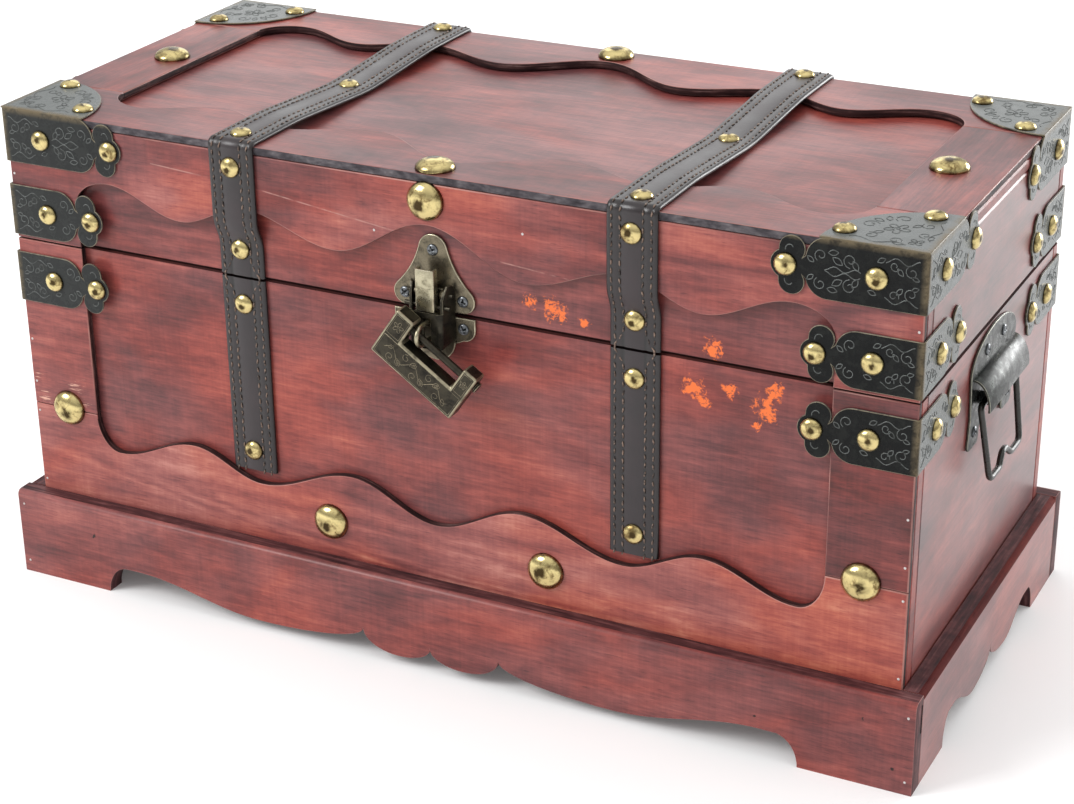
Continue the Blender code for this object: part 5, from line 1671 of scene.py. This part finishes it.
# %% [markdown]
# ## Brass nails
#
# Two sizes of domed nail hold the boards and the brackets. Copies of one dome would do, but each
# size would need its own. They stand on loose points, so one tree with a radius and a height makes
# them all, and each dome gets its own spin so that the tarnish doesn't look stamped.

# %% Nails
small_nail = {"Radius": 0.0056, "Height": 0.0032, "Sides": 16, "Seed": 7}
large_nail = {"Radius": 0.01, "Height": 0.0053, "Sides": 24, "Seed": 11}


def make_nails():
    """The large nails' places, and both sizes of nail on the box and on the lid."""
    big_places["box"] += [on_face("front", s * 0.0625, 0.07) for s in (-1, 1)]
    big_places["box"] += [on_face("front", s * (half_width - 0.023), 0.103) for s in (-1, 1)]
    big_places["lid"] += [on_face("front", 0.0, top_z - 0.187 * lid_height)]
    big_places["lid"] += [on_face("top", 0.0, s * (half_depth - 0.0105)) for s in (-1, 1)]
    big_places["lid"] += [on_face("top", s * (half_width - 0.027), 0.0) for s in (-1, 1)]
    for body in ("box", "lid"):
        small = grown("small", dome_tree, points_mesh(nail_places[body]), Material=nail_brass, **small_nail)
        big = grown("big", dome_tree, points_mesh(big_places[body]), Material=nail_brass, **large_nail)
        new_piece(f"{body}_small_nails", small, body, "old_bronze")
        new_piece(f"{body}_large_nails", big, body, "old_bronze")


make_nails()
print("nails:", {body: len(nail_places[body]) + len(big_places[body]) for body in ("box", "lid")})

# %% [markdown]
# ## Pins and marks
#
# Thin wire pins, painted over and chipped white, show near the ends of the front boards. The right
# end of the plinth has one open slot where its corner joint was sawn too far. Both could be painted
# on, but a pin stands a little proud, so the nails' tree makes it too, and the slot is a thin near-black
# inlay, a painted shade where the slot is open.


# %% Pins and the slot
def make_pins():
    """The pin heads on the box and on the valance, and the open slot."""
    low = [(side * 0.2478, z, 0.0) for side in (-1, 1) for z in (0.115, 0.0975, 0.0556, 0.14)]
    low += [(side * 0.2572, z, fit + plinth_thick) for side in (-1, 1) for z in (0.0425, 0.007)]
    high = [(-0.0293, 0.2372, 0.0), (-0.2478, 0.2345, 0.0), (0.052, 0.248, 0.0), (0.2478, 0.233, 0.0)]
    for name, body, spots in (("board_pins", "box", low), ("valance_pins", "lid", high)):
        places = points_mesh([on_face("front", x, z, out) for x, z, out in spots])
        mesh = grown("pins", dome_tree, places, Radius=0.0007, Height=0.0003, Sides=8, Material=pin_white)
        new_piece(name, mesh, body, "blackened_metal")
    # The slot is a thin near-black inlay: a painted shade in place of the open slot.
    slot = [(-0.1158, 0.0304), (-0.1146, 0.0304), (-0.1146, 0.0458), (-0.1158, 0.0458)]
    mesh = slab_mesh(slot, 0.00015, face_frame("right", fit + plinth_thick), 0)
    new_piece("joint_slot", mesh, "box", "stained_wood", saw_slot, saw_slot)
    print("pins:", len(low) + len(high))


make_pins()

# %% [markdown]
# ## Latch
#
# The latch is pressed bronze. A plate on the lid carries a sloping tongue, a plate on the body
# carries two ears, and between the ears hangs a folded lever with a small folded link in front. The
# folded pieces could be bent from flat sheet. They're drawn in plan as channels instead, pulled up,
# and trimmed by their side profile, which gives the same sheared edges in fewer steps. Their arrises
# are worn bright.

# %% Metalwork helpers
latch_x, latch_y, plate_back_y = 0.0015, -0.107, panel_y - fit
latch_plate, screw_out, plate_corner = 0.0015, 0.016, 0.0065
lever_half, lever_splay, lever_depth, lever_sheet = 0.0095, 0.0025, 0.0092, 0.0012
lever_pin_y, lever_pin_z, link_pin_y, link_pin_z, pin_radius = -0.1101, 0.21, -0.1129, 0.2043, 0.0011
staple_x, staple_z, staple_bend, staple_wire = 0.0025, 0.1918, 0.0049, 0.0012
slot_half, slot_reach = staple_wire + 0.0009, staple_bend + staple_wire + 0.0009


def trimmed(mesh, cutter, operation="DIFFERENCE"):
    """One mesh cut by another. The cutter is used up."""
    base, tool = in_scene("base", mesh), in_scene("tool", cutter)
    step = base.modifiers.new("trim", "BOOLEAN")
    step.object, step.operation, step.solver = tool, operation, "EXACT"
    result = bpy.data.meshes.new_from_object(base.evaluated_get(bpy.context.evaluated_depsgraph_get()))
    for made in (base, tool):
        old = made.data
        bpy.data.objects.remove(made)
        bpy.data.meshes.remove(old)
    return result


def worn(mesh, width=0.0003, steps=2):
    """Rounds every sharp edge and marks the rounded faces with rim."""
    work = bmesh.new()
    work.from_mesh(mesh)
    bpy.data.meshes.remove(mesh)
    for layer in list(work.faces.layers.float.values()):
        work.faces.layers.float.remove(layer)
    bmesh.ops.remove_doubles(work, verts=work.verts, dist=0.000002)
    bmesh.ops.dissolve_limit(work, angle_limit=radians(0.5), verts=work.verts, edges=work.edges)
    bmesh.ops.recalc_face_normals(work, faces=work.faces)
    work.normal_update()
    edges = [e for e in work.edges if len(e.link_faces) == 2 and e.calc_face_angle() > radians(38)]
    rim = work.faces.layers.float.new("rim")
    made = bmesh.ops.bevel(work, geom=edges, offset=width, segments=steps, affect="EDGES", profile=0.5,
                           clamp_overlap=True)
    for face in made["faces"]:
        face[rim] = 1.0
    for face in work.faces:
        face.smooth = True
        face.material_index = 0
    work.normal_update()
    for edge in work.edges:
        edge.smooth = edge.calc_face_angle(0.0) < radians(34)
    return kept_mesh(work, "worn")


print("the base plate's back at y", plate_back_y, "and the lever's at y", latch_y)


# %% Blocks, rods and channels
def block_mesh(low, high):
    """A plain box between two corners."""
    outline = [(low[0], low[1]), (high[0], low[1]), (high[0], high[1]), (low[0], high[1])]
    return slab_mesh(outline, high[2] - low[2], Matrix.Translation((0, 0, low[2])), 0)


def rod_mesh(radius, start, end, sides=22):
    """A round rod between two points."""
    start, end = Vector(start), Vector(end)
    work = bmesh.new()
    turn = (end - start).to_track_quat("Z", "Y").to_matrix().to_4x4()
    bmesh.ops.create_cone(work, cap_ends=True, segments=sides, radius1=radius, radius2=radius,
                          depth=(end - start).length, matrix=Matrix.Translation((start + end) / 2) @ turn)
    work.faces.layers.float.new("rim")
    for face in work.faces:
        face.smooth = len(face.verts) == 4
    for edge in work.edges:
        edge.smooth = edge.calc_face_angle(0.0) < radians(40)
    return kept_mesh(work, "rod")


def side_slab(points, half, x=latch_x):
    """A side profile, given as depth out from the lever's back and rise over the seam."""
    outline = [(latch_y - depth, seam + rise) for depth, rise in points]
    return slab_mesh(outline, 2 * half, frame_of((0, 1, 0), (0, 0, 1), (x - half, 0, 0)), 0)


def plan_slab(half, splay, depth, thickness, bend, low, high):
    """A channel in plan, with its web out at the depth and its flanges back towards the chest."""
    outer_arc = arc((half - bend, depth - bend), bend, bend, 0, 90, 9)
    inner = bend - thickness
    inner_arc = arc((half - bend, depth - bend), inner, inner, 0, 90, 9) if inner > 0 else [
        (half - thickness, depth - thickness)]
    outer = [(half + splay, 0.0)] + outer_arc + [(-x, d) for x, d in reversed(outer_arc)]
    outer += [(-half - splay, 0.0)]
    back = [(thickness - half - splay, 0.0)] + [(-x, d) for x, d in inner_arc]
    back += [(x, d) for x, d in reversed(inner_arc)] + [(half + splay - thickness, 0.0)]
    return slab_mesh(outer + back, high - low, frame_of((1, 0, 0), (0, -1, 0), (latch_x, latch_y, high)), 0)


def front_slab(outline, back, thickness, bevel=0.0005):
    """An outline round the latch's middle, from a back plane towards the viewer."""
    return slab_mesh(outline, thickness, frame_of((1, 0, 0), (0, 0, 1), (latch_x, back, 0)), bevel, 3)


def bezier(a, b, c, d, count=14):
    """Points of a curve from a to d that leaves towards b and arrives from c."""
    return [tuple(Vector(a) * (1 - t) ** 3 + Vector(b) * 3 * t * (1 - t) ** 2
                  + Vector(c) * 3 * t * t * (1 - t) + Vector(d) * t ** 3)
            for t in (i / (count - 1) for i in range(count))]


print("latch middle at x", latch_x, "and staple at x", staple_x)


# %% Latch plates
def plate_screws(*places):
    """Where screws stand on a latch plate, from (x, z) about the latch's middle."""
    return [on_face("front", latch_x + x, z, front_y - plate_back_y + latch_plate) for x, z in places]


def make_catch_plate():
    """The plate on the lid: two rounded feet, a waist, an arched head, and the tongue."""
    low = lid_low + 0.0012
    corner, top = low + plate_corner, low + 0.4354 * lid_height
    lower = arc((screw_out, corner), plate_corner, plate_corner, -90, 45, 16)
    upper = arc((0.0, top), 0.008, 0.008, 15, 90, 14)
    start, end = Vector(lower[-1]), Vector(upper[0])
    waist = bezier(start, start + Vector((-0.0053, 0.0053)), end + Vector((0.0026, -0.0097)), end)
    half = lower + waist[1:-1] + upper
    plate = front_slab(half + [(-x, z) for x, z in half[-2::-1]], plate_back_y, latch_plate)
    rise, slope, tongue_half = 0.0165, 0.0035, 0.0011
    tongue = side_slab([(-0.001, rise - tongue_half), (0.0075, rise + slope - tongue_half),
                        (0.0075, rise + slope + tongue_half), (-0.001, rise + tongue_half)], 0.0035)
    mesh = joined([plate, worn(tongue)])
    piece = new_piece("catch_plate_pressing", mesh, "lid", "old_bronze", bronze, bronze)
    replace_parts(piece, "latch_catch_plate")
    screw_places["lid"] += plate_screws((0.0, top), (screw_out, corner), (-screw_out, corner))


def make_base_plate():
    """The plate on the box: a rounded lobe, the neck with its slot for the staple, and two ears."""
    top = seam - fit
    corner = top - 0.0122 + plate_corner
    lobe = arc((0.0, seam - 0.014), 0.011, 0.011, -4, -176, 30)
    right = [(0.0225, top)] + arc((screw_out, corner), plate_corner, plate_corner, 0, -90, 12)
    plate = front_slab(right + lobe + [(-x, z) for x, z in reversed(right)], plate_back_y, latch_plate)
    half, slot_top = 0.0079, staple_z + slot_reach
    slot_left, slot_right = staple_x - latch_x - slot_half, staple_x - latch_x + slot_half
    foot, head = seam - 0.007, seam + 0.0144
    neck = [(-half, foot), (slot_left, foot), (slot_left, slot_top), (slot_right, slot_top),
            (slot_right, foot), (half, foot), (half, head), (-half, head)]
    neck = front_slab(neck, latch_y, 0.002, 0.0002)
    blocks = [front_slab([(a, foot), (b, foot), (b, top), (a, top)], latch_y + 0.001, 0.0012, 0)
              for a, b in ((-half, slot_left), (slot_right, half))]
    ear = [(0.0013, 0.0075)] + arc((0.0031, 0.012), 0.0024, 0.0024, -45, 90, 14) + [(0.0013, 0.0144)]
    ears = [worn(side_slab(ear, 0.0008, latch_x + s * (half - 0.0008)), 0.0002) for s in (-1, 1)]
    mesh = joined([plate, neck, *blocks, *ears])
    piece = new_piece("base_plate_pressing", mesh, "box", "old_bronze", bronze, bronze)
    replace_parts(piece, "latch_base_plate")
    screw_places["box"] += plate_screws((screw_out, corner), (-screw_out, corner))


make_catch_plate()
make_base_plate()
print("screws of the latch plates:", len(screw_places["lid"]) + len(screw_places["box"]))


# %% Lever, link, pins and staple
def make_lever():
    """The folded lever, trimmed to its side profile and slotted for the staple."""
    low, high = seam - 0.0154, seam + 0.017
    shell = plan_slab(lever_half, lever_splay, lever_depth, lever_sheet, 0.0025, low, high)
    inside = lever_depth - lever_sheet - fit
    profile = [(-0.002, -0.0114), (0.0, -0.0114), (lever_depth, -0.0154), (lever_depth + 0.002, -0.0154),
               (lever_depth + 0.002, 0.0036), (inside, 0.0036), (inside, 0.0105), (0.0045, 0.017),
               (0.0015, 0.017), (0.0, 0.014), (-0.002, 0.014)]
    shell = trimmed(shell, side_slab(profile, lever_half + lever_splay + 0.002), "INTERSECT")
    slot = block_mesh((staple_x - slot_half, -0.119, staple_z - slot_reach),
                      (staple_x + slot_half, plate_back_y, staple_z + slot_reach))
    made = new_piece("lever_folding", worn(trimmed(shell, slot)), "lever", "old_bronze", dark_bronze)
    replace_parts(made, "latch_lever")


def make_link():
    """The small folded link on its pin, and the pin that the lever turns on."""
    low = link_pin_z - 0.002
    shell = plan_slab(0.0052, 0.0, lever_depth, lever_sheet, 0.0009, low, low + 0.0215)
    back = block_mesh((latch_x - 0.0072, -0.1118, low - 0.002),
                      (latch_x + 0.0072, latch_y + 0.002, low + 0.0235))
    shell = trimmed(shell, back)
    reach = lever_half + lever_splay + 0.0005
    left, right = latch_x - reach, latch_x + reach
    pin = rod_mesh(pin_radius, (left, link_pin_y, link_pin_z), (right, link_pin_y, link_pin_z))
    for face in pin.polygons:
        face.material_index = 1
    mesh = joined([worn(shell), pin])
    piece = new_piece("link_folding", mesh, "link", "old_bronze", bright_bronze, dark_bronze)
    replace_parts(piece, "latch_link")
    pin = rod_mesh(pin_radius, (left, lever_pin_y, lever_pin_z), (right, lever_pin_y, lever_pin_z))
    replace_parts(new_piece("lever_pin_rod", pin, "box", "old_bronze", dark_bronze), "latch_lever_pin")


def make_staple():
    """The wire loop that the padlock hangs from."""
    foot_y, tip_y = -0.1069, -0.1233
    bend_y = tip_y + staple_bend - staple_wire - 0.0019 - 0.00035
    path = [(foot_y, staple_z + staple_bend)]
    path += arc((bend_y, staple_z), staple_bend, staple_bend, 90, 270, 22)
    path += [(foot_y, staple_z - staple_bend)]
    paths = [[((staple_x, y, z), (0, 0, 1)) for y, z in path]]
    mesh = grown("staple", line_tree, paths_mesh(paths), Radius=staple_wire, Sides=14, Material=bright_bronze)
    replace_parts(new_piece("staple_loop", mesh, "box", "old_bronze"), "padlock_staple")


make_lever()
make_link()
make_staple()
print("the link's pin at z", link_pin_z, "and the lever's at z", lever_pin_z)

# %% [markdown]
# ## Padlock
#
# The padlock is a flat bar with two posts, and its bolt runs across from post to post through the
# staple. It could be modelled level and then turned, but its joints stand in the chest's frame, so
# it's laid out in its own plane: u runs along it and v up it. The faces carry cast vines inside a
# thin border, and the posts have borders of their own.

# %% Padlock
lock_along = Vector((0.824126, 0, -0.566406))
lock_up = Vector((0.566406, 0, 0.824126))
lock_length, lock_height, lock_thick, lock_block = 0.0522, 0.0285, 0.009, 0.0147
near_post, far_post, bar_rise, bar_radius = 0.011, 0.0085, 0.022, 0.0019
far_edge, bar_back = lock_length - far_post, 0.0007


def lock_point(u, v, back=0.0):
    """A point of the padlock's plane, or behind it, in the chest's frame."""
    ring = Vector((staple_x, -0.124, staple_z))
    return ring + lock_along * (u - 0.0159) + lock_up * (v - bar_rise) + Vector((0, back, 0))


def lock_ornament():
    """The border lines, vines, flowers and leaves of one face, in u and v."""
    inset = 0.0017
    lines = [[(a, b), (c, b), (c, d), (a, d), (a, b)] for a, b, c, d in (
        (inset, inset, lock_length - inset, lock_block - 0.0012),
        (inset, lock_block + 0.0004, near_post - inset, lock_height - inset),
        (far_edge + inset, lock_block + 0.0004, lock_length - inset, lock_height - inset))]
    stem = [(0.005 + 0.0422 * i / 44, 0.0076 + 0.0026 * sin(i * 0.42)) for i in range(45)]
    lines.append(stem)
    for i, u in enumerate((0.01, 0.0175, 0.025, 0.0325, 0.04)):
        way = 1 if i % 2 else -1
        lines += [curl(u, 0.0076 + way * 0.0028, 0.0023, 90 * way, 400 * way, 12),
                  leaf(u + 0.0036, 0.0076 + way * 0.0008, 0.004, 60 * way),
                  leaf(u - 0.003, 0.0076 - way * 0.001, 0.0034, -50 * way)]
    lines += petals(near_post / 2, 0.0212, 0.001, 0.003, 5, 90)
    lines += petals(far_edge + far_post / 2, 0.0212, 0.0008, 0.0022, 5, 90)
    return lines


def make_padlock():
    """The casting with its bore, its raised ornament, and the bar with its worn head."""
    outline = [(0, 0), (lock_length, 0), (lock_length, lock_height), (far_edge, lock_height),
               (far_edge, lock_block), (near_post, lock_block), (near_post, lock_height), (0, lock_height)]
    origin = lock_point(0, 0, lock_thick / 2)
    body = slab_mesh(outline, lock_thick, frame_of(lock_along, lock_up, origin), 0)
    bore = rod_mesh(bar_radius + 0.00035, lock_point(near_post - 0.0035, bar_rise, bar_back),
                    lock_point(lock_length + 0.002, bar_rise, bar_back), 28)
    body = worn(trimmed(body, bore), 0.0011, 3)
    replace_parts(new_piece("padlock_casting", body, "padlock", "old_bronze", dark_bronze), "padlock_body")
    out = lock_thick / 2 - 0.00008
    paths = []
    for way in (-1, 1):
        paths += [[(lock_point(u, v, way * out), (0, way, 0)) for u, v in line] for line in lock_ornament()]
    mesh = grown("scrolls", line_tree, paths_mesh(paths), Radius=0.00022, Sides=5, Material=bronze)
    new_piece("padlock_ornament", mesh, "padlock", "old_bronze")
    start = lock_point(near_post - 0.00315, bar_rise, bar_back)
    neck = lock_point(lock_length + 0.00035, bar_rise, bar_back)
    head = neck + lock_along * 0.0014
    bar = joined([rod_mesh(bar_radius, start, (neck + head) / 2), worn(rod_mesh(0.0029, neck, head, 28))])
    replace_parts(new_piece("padlock_bar", bar, "bolt", "old_bronze", dark_bronze), "padlock_bolt")


make_padlock()
print("padlock", lock_length, "long and", lock_height, "high")

# %% [markdown]
# ## End handles
#
# A pressed plate with a hood holds the ends of a bent wire. The plate has an arched head and two
# splayed feet, the hood is a rolled lip over the wire's axis, and two ears stand under it. Each is an
# outline given its thickness, which is quicker to correct than pushing one mesh about, and the wire
# is a path for the line tree.

# %% Handles
axis_z, handle_sheet = 0.163, 0.0012
handle_skin = half_width + fit + handle_sheet
handle_screws = ((-0.0134, 0.0235), (0.0134, 0.0235), (-0.0272, -0.0145), (0.0272, -0.0145))


def handle_line():
    """Round the plate, from the middle of its arch, clockwise and back."""
    top = arc((0.0, 0.017), 0.0365, 0.016, 90, 0, 26)
    outer, inner, low, rounded = 0.036, 0.019, -0.023, 0.0035
    foot = [(0.034, -0.006)] + arc((outer - rounded, low + rounded), rounded, rounded, 0, -90, 8)
    foot += arc((inner + rounded, low + rounded), rounded, rounded, -90, -180, 8)
    arch = arc((0.0, low + rounded), inner, 0.023 - rounded - 0.002, 0, 90, 18)[1:]
    half = top + foot + arch
    return half + [(-y, z) for y, z in half[-2:0:-1]]


def out_slab(face, points, low_y, high_y):
    """A profile, out from the plate's face and up from the wire's axis, between two depths."""
    way = 1 if face == "right" else -1
    outline = [(way * (handle_skin + out), axis_z + rise) for out, rise in points]
    return slab_mesh(outline, high_y - low_y, frame_of((1, 0, 0), (0, 0, 1), (0, middle_y + high_y, 0)), 0)


def make_handle_plate(side):
    """The pressed plate with its hood and its two ears."""
    placed = [(y, axis_z + z) for y, z in handle_line()]
    plate = slab_mesh(placed, handle_sheet, face_frame(side, fit), 0.0004, 3)
    outer = arc((0.0, 0.0), 0.009, 0.015, 90, 0, 22)
    inner = arc((0.0, 0.0), 0.0078, 0.0138, 0, 90, 22)
    section = [(-0.0006, 0.015)] + outer[1:] + [(0.009, -0.001), (0.0078, -0.001)] + inner[:-1]
    section += [(-0.0006, 0.0138)]
    hood = worn(out_slab(side, section, -0.033, 0.033))
    ear = [(-0.0006, -0.0034)] + arc((0.003, 0.0), 0.0034, 0.0034, -90, 90, 16) + [(-0.0006, 0.0034)]
    ears = [worn(out_slab(side, ear, y - 0.0006, y + 0.0006), 0.0002) for y in (-0.018, 0.018)]
    piece = new_piece(f"{side}_handle_pressing", joined([plate, hood, *ears]), "box", "blackened_metal",
                      handle_steel, handle_steel)
    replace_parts(piece, "handle_plate_" + side)
    out = handle_skin - half_width
    screw_places["box"] += [on_face(side, y, axis_z + z, out) for y, z in handle_screws]


def make_bail(side):
    """The bent wire, which leans out a little."""
    half = [((0.003, -0.0345), 0.0022), ((0.0095, -0.04), 0.0022), ((0.0255, -0.04), 0.0045),
            ((0.029, 0.0), 0.003), ((0.015, 0.0), 0)]
    corners = [((-y, d), back) for (y, d), back in reversed(half)] + half
    lean = radians(8.5)
    way = 1 if side == "right" else -1
    stand = handle_skin + 0.003
    path = [((way * (stand - p.y * sin(lean)), middle_y + p.x, axis_z + p.y * cos(lean)), (0, 0, 1))
            for p in rounded_path(corners, 8)]
    mesh = grown("bail", line_tree, paths_mesh([path]), Radius=0.00165, Sides=14, Material=black_wire)
    piece = new_piece(f"{side}_bail_wire", mesh, side + "_bail", "blackened_metal")
    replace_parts(piece, "handle_bail_" + side)


for side in ("left", "right"):
    make_handle_plate(side)
    make_bail(side)
print("handles at z", axis_z)

# %% [markdown]
# ## Hinges and screws
#
# The hinges keep their solids, which are fine enough for flat leaves and a pin, and take a brass
# finish. Every screw is the same small pan head with a cross recess, placed by the same tree as the
# nails.

# %% Hinges and screws
hinge_brass = metal("hinge_brass_finish", (0.5, 0.38, 0.15), (0.38, 0.28, 0.11), (0.6, 0.5, 0.3), 0.1, 1.0,
                    (0.24, 0.38))
for name, node in nodes.items():
    if name.startswith("hinge_"):
        refinish(node, hinge_brass)
hinge_x, hinge_z, hinge_leaf = 0.15, seam + 0.0004, 0.0015
screw_across, screw_rise = 0.0125, 0.015
for x in (hinge_x - screw_across, hinge_x + screw_across, -hinge_x - screw_across, -hinge_x + screw_across):
    screw_places["lid"].append(on_face("back", x, hinge_z + screw_rise, hinge_leaf))
    screw_places["box"].append(on_face("back", x, hinge_z - screw_rise, hinge_leaf))
for body in ("box", "lid"):
    mesh = grown("screws", dome_tree, points_mesh(screw_places[body]), Radius=0.00305, Height=0.0013,
                 Sides=18, Cross=True, Seed=21, Material=screw_steel)
    new_piece(f"{body}_screws", mesh, body, "blackened_metal")
print("screws:", {k: len(v) for k, v in screw_places.items()})
